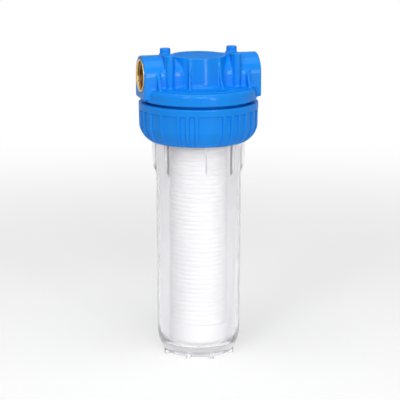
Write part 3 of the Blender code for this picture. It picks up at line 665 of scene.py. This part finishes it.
def skin_of(field, origin, step):
    """Closed skin of quads round the inside of a sampled distance field."""
    inside = field < 0
    shape = np.array(field.shape) - 1
    total = np.zeros(shape, np.int8)
    place = np.zeros((*shape, 3), np.float32)
    crossings = np.zeros(shape, np.float32)

    def corner(offset, values):
        return values[tuple(slice(o, o + n) for o, n in zip(offset, shape))]

    for offset in np.ndindex(2, 2, 2):
        total += corner(offset, inside)
        for axis in range(3):
            if offset[axis]:
                continue
            other = tuple(o + (a == axis) for a, o in enumerate(offset))
            near, far = corner(offset, field), corner(other, field)
            crossed = corner(offset, inside) != corner(other, inside)
            share = np.where(crossed, near / np.where(crossed, near - far, 1.0), 0.0)
            for a in range(3):
                place[..., a] += crossed * (offset[a] + (share if a == axis else 0.0))
            crossings += crossed
    active = (total > 0) & (total < 8)
    number = np.full(shape, -1)
    number[active] = np.arange(active.sum())
    cells = np.argwhere(active)
    points = (cells + place[active] / crossings[active][:, None]) * step + np.array(origin)
    faces = []
    for axis in range(3):
        ahead = tuple(slice(1, None) if a == axis else slice(None) for a in range(3))
        behind = tuple(slice(None, -1) if a == axis else slice(None) for a in range(3))
        edges = np.argwhere(inside[behind] != inside[ahead])
        one, two = [a for a in range(3) if a != axis]
        edges = edges[(edges[:, one] > 0) & (edges[:, two] > 0)]
        ring = []
        for back_one, back_two in ((0, 0), (1, 0), (1, 1), (0, 1)):
            cell = edges.copy()
            cell[:, one] -= back_one
            cell[:, two] -= back_two
            ring.append(number[tuple(cell.T)])
        faces.append(np.stack(ring, -1))
    return points, np.concatenate(faces)


def settled(points, field, origin, step, passes=3):
    """Moves the points of a skin onto the field's zero surface."""
    slopes = np.gradient(field, step)
    for _ in range(passes):
        grid = (points - np.array(origin)) / step
        low = np.clip(np.floor(grid).astype(int), 0, np.array(field.shape) - 2)
        share = grid - low
        values = np.zeros((len(points), 4))
        for offset in np.ndindex(2, 2, 2):
            weight = np.prod([share[:, a] if offset[a] else 1 - share[:, a] for a in range(3)], axis=0)
            at = tuple((low + offset).T)
            for index, source in enumerate((field, *slopes)):
                values[:, index] += weight * source[at]
        slope = values[:, 1:]
        length = np.maximum((slope**2).sum(1), 0.2)
        move = values[:, :1] * slope / length[:, None]
        points = points - np.clip(move, -0.5 * step, 0.5 * step)
    return points


class HeadField:
    """Distances from the points of a grid, x not negative, to the forms of the head's outlet half."""

    def __init__(self, x, y, z):
        self.x, self.y, self.z = x, y, z
        self.reach = np.hypot(x, y)[..., 0]
        self.either_way = np.abs(y)
        self.from_port = np.hypot(y, z - PORT_HEIGHT)

    def revolved(self, outline):
        """An outline turned round the head's axis, read from a table over the radius."""
        radii = np.arange(0.0, self.reach.max() + 2 * TABLE_STEP, TABLE_STEP)
        table = profile_distance(outline, radii[:, None], self.z[0, 0][None, :]).astype(np.float32)
        low = np.floor(self.reach / TABLE_STEP).astype(int)
        share = (self.reach / TABLE_STEP - low)[..., None].astype(np.float32)
        return table[low] * (1 - share) + table[low + 1] * share

    def plate(self, corners, across, centre, half_width, rounding):
        """A plate square to X, with its corners given as (across, height)."""
        profile = profile_distance(corners, across, self.z)
        return extruded(profile, np.abs(self.x - centre) - half_width, rounding)

    def rod(self, centre_y, radius, bottom, top, rounding):
        """An upright rod on the pad."""
        around = np.hypot(self.x - PAD_CENTRE, self.y - centre_y) - radius
        return extruded(around, np.maximum(bottom - self.z, self.z - top), rounding)

    def dome(self):
        """Rim with its shoulder and step, and the dome on its flared foot."""
        flat_end = (DOME_FOOT_RADIUS + DOME_FOOT_FLARE, DOME_FLAT)
        foot = (DOME_FOOT_RADIUS, DOME_FOOT_HEIGHT)
        return self.revolved(softened([
            (0.0, RIM_BOTTOM), (RIM_RADIUS, RIM_BOTTOM, 0.5 * MM), (RIM_RADIUS, RIM_TOP, SHOULDER),
            (STEP_RADIUS, RIM_TOP, 0.3 * MM), (STEP_RADIUS - STEP_HEIGHT, DOME_FLAT, 0.3 * MM),
            *curve(flat_end, (DOME_FOOT_RADIUS, DOME_FLAT), foot, 10),
            (DOME_RADIUS, DOME_TOP, 0.8 * MM), (0.0, DOME_TOP),
        ], 6))

    def port(self):
        """Port tube on its block, with pad, screw boss and locating pin, cut clear of the dome's top."""
        block_profile = softened([
            (PORT_RADIUS, PORT_HEIGHT), (PORT_RADIUS, BLOCK_BOTTOM, BLOCK_CORNER),
            (-PORT_RADIUS, BLOCK_BOTTOM, BLOCK_CORNER), (-PORT_RADIUS, PORT_HEIGHT),
        ], 6)
        block = np.minimum(profile_distance(block_profile, self.y, self.z), self.from_port - PORT_RADIUS)
        block = extruded(block, self.x - PORT_REACH, PORT_EDGE)
        pad = [(-PAD_FRONT, PORT_HEIGHT), (PIN_RADIUS, PORT_HEIGHT)]
        pad += [(PIN_RADIUS, PAD_TOP), (-PAD_FRONT, PAD_TOP)]
        block = merged(block, self.plate(pad, self.y, PAD_CENTRE, PAD_HALF_WIDTH, 0.5 * MM), 0.8 * MM)
        over_dome = [
            (0.0, DOME_TOP), (DOME_RADIUS - 0.5 * MM, DOME_TOP),
            (DOME_RADIUS + 0.8 * MM, DOME_TOP - 1.0 * MM), (DOME_RADIUS + 0.8 * MM, DOME_TOP + 10.0 * MM),
            (0.0, DOME_TOP + 10.0 * MM),
        ]
        block = carved(block, self.revolved(over_dome), 0.4 * MM)
        boss = self.rod(-PAD_FRONT, BOSS_RADIUS, RIM_TOP - SHOULDER, BOSS_TOP, 0.5 * MM)
        block = merged(block, boss, 1.0 * MM)
        return merged(block, self.rod(0.0, PIN_RADIUS, PIN_ROOT, head_high.z, 0.6 * MM), 0.8 * MM)

    def gussets(self):
        """Plates from the port tube down to the rim, at the front and at the back."""
        corners = [
            (GUSSET_ROOT, GUSSET_TOP + 0.8 * MM), (PORT_RADIUS, GUSSET_TOP - 1.0 * MM),
            (GUSSET_TIP, RIM_TOP - 1.0 * MM), (GUSSET_TIP, RIM_BOTTOM + 1.0 * MM),
            (GUSSET_ROOT, RIM_BOTTOM + 1.0 * MM),
        ]
        return self.plate(corners, self.either_way, GUSSET_CENTRE, GUSSET_HALF_WIDTH, 0.6 * MM)

    def fins(self):
        """Curved fins that splay out from the dome, at the front and at the back."""
        turn, splay = math.radians(DOME_FIN_ROOT_TURN), math.radians(DOME_FIN_SPLAY)
        from_root = (self.x - DOME_RADIUS * math.sin(turn), self.either_way - DOME_RADIUS * math.cos(turn))
        outward = from_root[0] * math.sin(splay) + from_root[1] * math.cos(splay)
        sideways = from_root[0] * math.cos(splay) - from_root[1] * math.sin(splay)
        low = DOME_FLAT - 1.0 * MM
        waist, tip = (DOME_FIN_LENGTH / 2, DOME_FOOT_HEIGHT), (DOME_FIN_LENGTH, low)
        sweep = curve(waist, (DOME_FIN_LENGTH, DOME_FLAT), tip, 6)
        outline = [(DOME_FIN_ROOT, DOME_FIN_TOP), (0.8 * MM, DOME_FIN_TOP), *sweep, (DOME_FIN_ROOT, low)]
        profile = profile_distance(outline, outward, self.z)
        return extruded(profile, np.abs(sideways) - DOME_FIN_HALF_WIDTH, 0.5 * MM)

    def disc(self):
        """The shallow round recess in the dome's top, with a sloping wall."""
        floor, over = DOME_TOP - DISC_DEPTH, DOME_TOP + DISC_DEPTH
        wall_top = (DISC_RADIUS + DISC_DEPTH, over)
        return self.revolved([(0.0, floor), (DISC_RADIUS, floor), wall_top, (0.0, over)])

    def whole(self):
        """All forms above the skirt, with screw hole, bush pocket and water channel cut out."""
        field = merged(self.dome(), self.port(), PORT_FILLET)
        field = merged(field, self.gussets(), GUSSET_FILLET)
        field = merged(field, self.fins(), DOME_FIN_FILLET)
        field = carved(field, self.disc(), 0.4 * MM)
        hole_end = PAD_TOP - SCREW_HOLE_DEPTH
        hole = self.rod(-PAD_FRONT, SCREW_HOLE_RADIUS, hole_end, PAD_TOP + 9.0 * MM, 0.2 * MM)
        field = carved(field, hole, 0.3 * MM)
        field = carved(field, np.maximum(self.from_port - POCKET_RADIUS, POCKET_END - self.x), 0.4 * MM)
        field = carved(field, np.maximum(self.from_port - CHANNEL_RADIUS, CHANNEL_END - self.x), 0.6 * MM)
        return np.maximum(field, RIM_BOTTOM - self.z)


def make_head_top(finish):
    """The head above its skirt: rim, dome, port tubes, pads, pins and ribs in one moulding."""
    half, margin = GRID_STEP / 2, 3 * GRID_STEP
    x = np.arange(half, PORT_REACH + margin, GRID_STEP)
    y = np.arange(-RIM_RADIUS - margin, RIM_RADIUS + margin, GRID_STEP)
    z = np.arange(RIM_BOTTOM - margin, head_high.z + margin, GRID_STEP)
    outlet_half = HeadField(x[:, None, None], y[None, :, None], z[None, None, :]).whole().astype(np.float32)
    field = np.concatenate([outlet_half[::-1], outlet_half], axis=0)
    origin = (-x.max(), y.min(), z.min())
    points, faces = skin_of(field, origin, GRID_STEP)
    points = settled(points, field, origin, GRID_STEP)
    low = np.array((-PORT_REACH, -RIM_RADIUS, RIM_BOTTOM))
    high = np.array((PORT_REACH, RIM_RADIUS, head_high.z))
    points = np.clip(points, low, high).tolist()
    piece = make_piece("head_moulding", points, faces.tolist(), finish, "head", None)
    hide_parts("head")


def make_head_skirt(finish):
    """Threaded skirt under the head's rim, with the chamber, the seat and its spigot inside."""
    outline = softened([
        (SKIRT_RADIUS, SKIRT_JOIN), (SKIRT_RADIUS, SKIRT_BOTTOM, 0.5 * MM),
        (CHAMBER_RADIUS, SKIRT_BOTTOM, 0.5 * MM), (CHAMBER_RADIUS, CHAMBER_TOP, 3.1 * MM),
        (SEAT_RADIUS, CHAMBER_TOP, 1.0 * MM), (SEAT_RADIUS, SEAT_HEIGHT, 0.4 * MM),
        (SPIGOT_RADIUS, SEAT_HEIGHT, 0.3 * MM), (SPIGOT_RADIUS, SPIGOT_END, 0.8 * MM),
        (SPIGOT_BORE, SPIGOT_END, 0.3 * MM), (SPIGOT_BORE, BORE_TOP), (SPIGOT_BORE + 3.0 * MM, BORE_TOP),
        (CHAMBER_RADIUS, CHAMBER_TOP + 1.5 * MM),
    ])
    middle = (SKIRT_RADIUS + CHAMBER_RADIUS) / 2
    start = SKIRT_BOTTOM + THREAD_RISE

    def threaded(radius, height, angles):
        return radius + np.where(radius > middle, screw_ridge(height, angles, start), 0.0)

    points, faces = turned(finely(outline, 0.45 * MM), even_angles(192), threaded)
    make_piece("head_skirt", points, faces, finish, "head", 50.0)


def rib_angles():
    """Angle of each rib's middle, in degrees from the front."""
    places = []
    rib = NUT_TURN
    for pitch in RIB_PITCHES * NUT_SECTORS:
        places.append(rib)
        rib += pitch
    return places


def nut_columns():
    """Angles round the nut, close together at the flanks of the ribs."""
    half = RIB_WIDTH / 2
    found = []
    for rib, pitch in zip(rib_angles(), RIB_PITCHES * NUT_SECTORS):
        for side in (-1, 1):
            found += list(math.radians(FRONT + rib) + side * (half + np.array(FLANK_COLUMNS)) / NUT_RADIUS)
        found.append(math.radians(FRONT + rib))
        start = math.radians(FRONT + rib) + (half + PANEL_MARGIN) / NUT_RADIUS
        end = math.radians(FRONT + rib + pitch) - (half + PANEL_MARGIN) / NUT_RADIUS
        found += list(np.linspace(start, end, max(2, round((end - start) / math.radians(PANEL_COLUMN)))))
    return in_order(found)


def make_nut(finish):
    """Ring nut: ribs between sunk panels outside, screw thread inside, lip below."""
    waist, foot = (WAIST_RADIUS, WAIST_HEIGHT), (LIP_BORE + 1.0 * MM, NUT_BOTTOM)
    belly = curve(waist, (WAIST_RADIUS - 2.2 * MM, LIP_TOP), foot, 12)
    outline = softened([
        (NUT_BORE, NUT_TOP, 1.0 * MM), (NUT_RADIUS, NUT_TOP, 1.2 * MM), *belly,
        (LIP_BORE, NUT_BOTTOM + 0.6 * MM, 0.4 * MM), (LIP_BORE, LIP_TOP, 0.4 * MM),
        (FLANGE_RADIUS + THREAD_PLAY, LIP_TOP, 0.3 * MM), (NUT_BORE, LIP_TOP + 6.0 * MM, 0.8 * MM),
    ])
    ribs = np.array([math.radians(FRONT + rib) for rib in rib_angles()])
    start = FLANGE_TOP + 0.3 * MM + THREAD_RISE + THREAD_PITCH / 2

    def ribbed_and_threaded(radius, height, angles):
        away = np.abs(angle_between(angles[..., None], ribs)).min(-1) * NUT_RADIUS
        between = smooth_step(away, RIB_WIDTH / 2 - FLANK_IN, RIB_WIDTH / 2 + FLANK_OUT)
        below = 1 - smooth_step(height, PANEL_TOP - 0.5 * MM, PANEL_TOP + 0.4 * MM)
        above = smooth_step(height, PANEL_BOTTOM - 1.2 * MM, PANEL_BOTTOM + 0.6 * MM)
        sunk = between * below * above * PANEL_DEPTH
        inside = (radius < NUT_BORE + 0.5 * MM) & (height > LIP_TOP + 0.2 * MM)
        outside = (radius > NUT_BORE + 0.5 * MM) | ((height < LIP_TOP) & (radius > LIP_BORE + 0.9 * MM))
        return radius - np.where(inside, screw_ridge(height, angles, start), np.where(outside, sunk, 0.0))

    points, faces = turned(finely(outline, 0.6 * MM), nut_columns(), ribbed_and_threaded)
    piece = make_piece("nut_moulding", points, faces, finish, "ring_nut", 50.0)
    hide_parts("ring_nut")


def bowl_columns():
    """Angles round the bowl, close together at its fins."""
    found = list(even_angles(128))
    for degrees in FIN_DIRECTIONS:
        middle = math.radians(FRONT + degrees)
        found = [angle for angle in found if abs(angle_between(angle, middle)) > FIN_CLEAR / NECK_RADIUS]
        found += [middle + off * MM / NECK_RADIUS for off in FIN_COLUMNS]
    return in_order(found)


def bowl_outline():
    """Section of the bowl's wall, from the middle of its underside up, over the flange and down inside."""
    groove_inner = seal_high.x - SEAL_WIDTH - SEAL_ROOM
    groove_outer = seal_high.x + SEAL_ROOM
    groove_floor = FLANGE_TOP - SEAL_GROOVE_DEPTH
    corner_centre = (BASE_RING_RADIUS - 0.3 * MM, CORNER_TOP)
    corner_size = (LOW_RADIUS - corner_centre[0], CORNER_TOP - FOOT_DROP - 2.5 * MM)
    floor_size = (FLOOR_CORNER, CORNER_TOP - BOWL_FLOOR)
    return [
        (0.0, BOWL_UNDERSIDE), (BASE_RING_BORE, BOWL_UNDERSIDE, 1.2 * MM),
        (BASE_RING_BORE, FOOT_DROP, 0.8 * MM), (BASE_RING_RADIUS, FOOT_DROP, 1.0 * MM),
        *arc_of_ellipse(corner_centre, corner_size, -82.0, 0.0, 16),
        (MID_RADIUS, MID_HEIGHT), (NECK_RADIUS, FLANGE_BOTTOM, 1.0 * MM),
        (FLANGE_RADIUS, FLANGE_BOTTOM, 0.5 * MM), (FLANGE_RADIUS, FLANGE_TOP, 0.5 * MM),
        (groove_outer, FLANGE_TOP, 0.3 * MM),
        (groove_outer, groove_floor, 0.4 * MM), (groove_inner, groove_floor, 0.4 * MM),
        (groove_inner, FLANGE_TOP, 0.3 * MM), (NECK_BORE, FLANGE_TOP, 0.8 * MM), (MID_BORE, MID_HEIGHT),
        *arc_of_ellipse((LOW_BORE - FLOOR_CORNER, CORNER_TOP), floor_size, 0.0, -90.0, 14),
        (GUIDE_RADIUS, BOWL_FLOOR, 0.8 * MM), (GUIDE_TIP_RADIUS, GUIDE_TOP, 0.8 * MM), (0.0, GUIDE_TOP),
    ]


def make_bowl(finish):
    """Clear bowl, with fins under the flange, a seal groove, a base ring and feet."""
    fins = np.array([math.radians(FRONT + degrees) for degrees in FIN_DIRECTIONS])

    def finned(radius, height, angles):
        away = np.abs(angle_between(angles[..., None], fins)).min(-1) * NECK_RADIUS
        flank = 1 - smooth_step(away, FIN_WIDTH / 2 - 0.3 * MM, FIN_WIDTH / 2 + 0.8 * MM)
        run_out = smooth_step(height, FIN_END, FIN_END + FIN_RUN_OUT)
        taper = FIN_TAPER * smooth_step(-height, -NUT_BOTTOM, -FIN_END)
        wall = MID_RADIUS + (NECK_RADIUS - MID_RADIUS) * (height - MID_HEIGHT) / (FLANGE_BOTTOM - MID_HEIGHT)
        on_wall = (radius > wall - 1.0 * MM) & (radius < FIN_RADIUS)
        on_wall = on_wall & (height > MID_HEIGHT) & (height < FLANGE_BOTTOM)
        return radius + np.where(on_wall, flank * run_out * (FIN_RADIUS - taper - wall), 0.0)

    points, faces = turned(finely(softened(bowl_outline()), 4.0 * MM), bowl_columns(), finned)
    piece = make_piece("bowl_clear", points, faces, finish, "bowl", 40.0)
    feet = make_feet()
    union = piece.modifiers.new("feet", "BOOLEAN")
    union.operation = "UNION"
    union.solver = "EXACT"
    union.object = feet
    bpy.context.view_layer.update()
    joined = bpy.data.meshes.new_from_object(piece.evaluated_get(bpy.context.evaluated_depsgraph_get()))
    piece.modifiers.remove(union)
    piece.data = joined
    bpy.data.objects.remove(feet)
    joined.set_sharp_from_angle(angle=math.radians(40.0))
    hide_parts("bowl")


def make_feet():
    """Four pairs of radial feet with rounded edges, as one mesh to join to the bowl."""
    bm = bmesh.new()
    size = Matrix.Diagonal((FOOT_OUTER - FOOT_INNER, FOOT_WIDTH, FOOT_HEIGHT, 1.0))
    for quarter in range(4):
        for spread in (-FOOT_HALF_SPREAD, FOOT_HALF_SPREAD):
            degrees = FOOT_TURN + 90.0 * quarter + spread
            middle = polar((FOOT_INNER + FOOT_OUTER) / 2, degrees, FOOT_HEIGHT / 2)
            turn = Matrix.Rotation(math.radians(FRONT + degrees), 4, "Z")
            bmesh.ops.create_cube(bm, size=1.0, matrix=Matrix.Translation(middle) @ turn @ size)
    bmesh.ops.bevel(bm, geom=list(bm.edges), offset=FOOT_EDGE, segments=3, profile=0.5, affect="EDGES")
    mesh = bpy.data.meshes.new("feet")
    bm.to_mesh(mesh)
    bm.free()
    mesh.shade_smooth()
    feet = bpy.data.objects.new("feet", mesh)
    bpy.context.scene.collection.objects.link(feet)
    return feet


def make_media(finish):
    """Melt-blown tube: soft rounded bands between turned grooves, and a plain band at each end."""
    low, high = media_low.z, media_high.z
    radius = media_high.x - 0.1 * MM
    first, last = low + BAND_LENGTH, high - BAND_LENGTH
    pitch = (last - first) / int((last - first) / GROOVE_PITCH)
    outline = softened([
        (MEDIA_BORE, high, 0.4 * MM), (MEDIA_BORE, low, 0.4 * MM),
        (radius, low, 1.0 * MM), (radius, high, 1.0 * MM),
    ])
    rng = np.random.default_rng(7)
    waves = rng.uniform(0.0, math.tau, (6, 2))

    def grooved(radii, height, angles):
        along = (height - first) / pitch
        off = np.abs(along - np.round(along)) * pitch
        notch = 1 - smooth_step(off, 0.15 * MM, GROOVE_WIDTH / 2)
        bulge = 1 - np.minimum(1.0, (1 - off / (pitch / 2)) ** 2)
        from_below = smooth_step(height, first - 1.0 * MM, first)
        between = from_below * (1 - smooth_step(height, last, last + 1.0 * MM))
        sunk = between * (BAND_STEP + GROOVE_DEPTH * notch + BULGE_DEPTH * (1 - bulge))
        wander = np.zeros(np.broadcast(height, angles).shape)
        for index, (first_phase, second_phase) in enumerate(waves):
            round_waves = np.sin(angles * (index + 2) + first_phase)
            wander += round_waves * np.sin(height * (60 + 45 * index) + second_phase)
        return np.where(radii > radius - 1.5 * MM, radii - sunk - FUZZ_DEPTH * (1 + wander / 3), radii)

    points, faces = turned(finely(outline, 0.55 * MM), even_angles(96), grooved)
    piece = make_piece("fibre_tube", points, faces, finish, "bowl", 60.0)
    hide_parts("cartridge_media")


def at_port(end):
    """Turns a piece from Z to a port's axis, outward; end is -1 for the inlet and 1 for the outlet."""
    return Matrix.Translation((0.0, 0.0, PORT_HEIGHT)) @ Matrix.Rotation(math.radians(90.0 * end), 4, "Y")


def make_bush(name, end, finish):
    """Brass bush with a real pipe thread in its bore."""
    face, start = bush_high.x, bush_low.x
    collar = face - BUSH_THREAD_LENGTH
    groove_start, groove_end = bush_seal_low.x - SEAL_ROOM, bush_seal_high.x + SEAL_ROOM
    groove = BUSH_RADIUS - BUSH_GROOVE_DEPTH
    outline = softened([
        (BUSH_COLLAR_BORE, start, 0.3 * MM), (BUSH_RADIUS, start, 0.4 * MM),
        (BUSH_RADIUS, groove_start, 0.2 * MM), (groove, groove_start, 0.2 * MM),
        (groove, groove_end, 0.2 * MM), (BUSH_RADIUS, groove_end, 0.2 * MM),
        (BUSH_RADIUS, face, 0.6 * MM), (BUSH_BORE + BUSH_MOUTH, face, 0.25 * MM),
        (BUSH_BORE + 0.3 * MM, face - BUSH_BEVEL), (BUSH_BORE, collar, 0.5 * MM),
        (BUSH_COLLAR_BORE, collar - BUSH_BEVEL, 0.4 * MM),
    ])
    turns = (BUSH_THREAD_LENGTH - 3.0 * MM) / PIPE_PITCH
    form = (PIPE_PITCH, turns, PIPE_PITCH * 0.95, PIPE_PITCH * 0.15, 0.3)

    def threaded(radius, height, angles):
        ridge = helix_height(height, angles, collar + 1.0 * MM, *form)
        in_bore = (radius < BUSH_BORE + 1.0 * MM) & (height > collar + 0.2 * MM)
        return radius - np.where(in_bore, ridge * PIPE_DEPTH, 0.0)

    points, faces = turned(finely(outline, 0.29 * MM), even_angles(120), threaded, at_port(end))
    piece = make_piece(f"{name}_bush", points, faces, finish, "head", 60.0)
    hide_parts(f"{name}_insert")


def make_ring(name, node, body, section, finish, matrix=None):
    """A seal or gasket: a turned ring, its section given as inner, outer, low, high and rounding."""
    inner, outer, low, high, rounding = section
    corners = ((outer, low), (outer, high), (inner, high), (inner, low))
    outline = softened([(*corner, rounding) for corner in corners])
    points, faces = turned(outline, even_angles(128), None, matrix)
    piece = make_piece(name, points, faces, finish, body)
    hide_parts(node)


def dress():
    """Every piece of the filter, in its finish."""
    blue, rubber, foam, brass = moulded_blue(), seal_rubber(), gasket_foam(), turned_brass()
    make_head_top(blue)
    make_head_skirt(blue)
    make_nut(blue)
    make_bowl(clear_plastic())
    make_media(blown_fibre())
    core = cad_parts["cartridge_core"]
    core.data.materials.clear()
    core.data.materials.append(core_plastic().material)
    section = (seal_high.x - SEAL_WIDTH, seal_high.x, seal_low.z, seal_high.z, 1.3 * MM)
    make_ring("bowl_o_ring", "bowl_seal", "bowl", section, rubber)
    for place in ("bottom", "top"):
        low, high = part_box(f"cartridge_{place}_gasket")
        section = (GASKET_BORE, high.x, low.z, high.z, 0.4 * MM)
        make_ring(f"{place}_foam_ring", f"cartridge_{place}_gasket", "bowl", section, foam)
    outer = bush_seal_high.z - PORT_HEIGHT
    section = (outer - BUSH_SEAL_WIDTH, outer, bush_seal_low.x, bush_seal_high.x, 0.7 * MM)
    for end, name in ((-1, "inlet"), (1, "outlet")):
        make_bush(name, end, brass)
        node = f"{name}_insert_seal"
        make_ring(f"{name}_o_ring", node, "head", section, rubber, at_port(end))


def make_floor():
    """Pale floor that keeps the shadow near the object and runs out into white."""
    mesh = bpy.data.meshes.new("floor")
    half = FLOOR_SIZE / 2
    corners = [(-half, -half, 0), (half, -half, 0), (half, half, 0), (-half, half, 0)]
    mesh.from_pydata(corners, [], [(0, 1, 2, 3)])
    floor = bpy.data.objects.new("floor", mesh)
    bpy.context.scene.collection.objects.link(floor)
    finish = Finish("floor_paper", roughness=0.9, specular_ior_level=0.0)
    place = finish.place()
    grain = finish.noise(place, 40.0, 2.0)
    low, high = FLOOR_GREYS
    finish.vary("Base Color", finish.ramp(grain, (0.0, (low,) * 3), (1.0, (high,) * 3)))
    camera_ray = finish.node("ShaderNodeLightPath", output="Is Camera Ray")
    seen = camera_ray + camera_ray.output("Is Glossy Ray") + camera_ray.output("Is Transmission Ray")
    away = finish.node("ShaderNodeVectorMath", {"operation": "LENGTH"}, {0: place}, "Value")
    lift = finish.node("ShaderNodeEmission", None, {"Strength": FLOOR_LIFT * seen})
    near = finish.node("ShaderNodeAddShader", None, {0: finish.lit, 1: lift})
    white = finish.node("ShaderNodeEmission", None, {"Strength": 1.0})
    finish.show_mix(away.between(FADE_START, FADE_END) * seen, near, white)
    mesh.materials.append(finish.material)


def make_world():
    """Pale to the eye, to gloss and through the bowl; softer as a light."""
    world = bpy.data.worlds.new("studio")
    bpy.context.scene.world = world
    world.use_nodes = True
    nodes = Nodes(world.node_tree)
    camera_ray = nodes.node("ShaderNodeLightPath", output="Is Camera Ray")
    seen = camera_ray.or_else(camera_ray.output("Is Glossy Ray"))
    seen = seen.or_else(camera_ray.output("Is Transmission Ray"))
    strength = nodes.node("ShaderNodeMapRange", None, {"Value": seen, "To Min": WORLD_STRENGTH})
    background = world.node_tree.nodes["Background"]
    nodes.feed(background.inputs["Color"], (WORLD_GREY, WORLD_GREY, WORLD_GREY, 1.0))
    nodes.feed(background.inputs["Strength"], strength)


def make_lamp(name, azimuth, elevation, distance, size, power):
    """Soft box aimed at the filter; azimuth counts from the camera's side."""
    lamp = bpy.data.lights.new(name, "AREA")
    lamp.shape = "RECTANGLE"
    lamp.size, lamp.size_y = size
    lamp.energy = power
    rise = math.radians(elevation)
    spot = polar(math.cos(rise), CAMERA_AZIMUTH + azimuth, math.sin(rise))
    lamp_object = bpy.data.objects.new(name, lamp)
    bpy.context.scene.collection.objects.link(lamp_object)
    lamp_object.location = Vector(LAMP_TARGET) + spot * distance
    lamp_object.rotation_mode = "QUATERNION"
    lamp_object.rotation_quaternion = (-spot).to_track_quat("-Z", "Y")


def make_camera():
    """Camera at the picture's place, level and aimed down by its pitch."""
    camera = bpy.data.cameras.new("camera")
    camera.lens = CAMERA_LENS
    camera.sensor_width = SENSOR
    camera.clip_end = CAMERA_SIGHT
    camera_object = bpy.data.objects.new("camera", camera)
    bpy.context.scene.collection.objects.link(camera_object)
    aside = polar(CAMERA_ASIDE, CAMERA_AZIMUTH + 90.0)
    camera_object.location = polar(CAMERA_DISTANCE, CAMERA_AZIMUTH, CAMERA_HEIGHT) + aside
    camera_object.rotation_euler = (math.radians(90.0 - CAMERA_PITCH), 0.0, math.radians(CAMERA_AZIMUTH))
    bpy.context.scene.camera = camera_object


dress()
make_floor()
make_world()
for name, setting in LAMPS.items():
    make_lamp(name, *setting)
make_camera()
bpy.context.scene.view_settings.view_transform = "Standard"
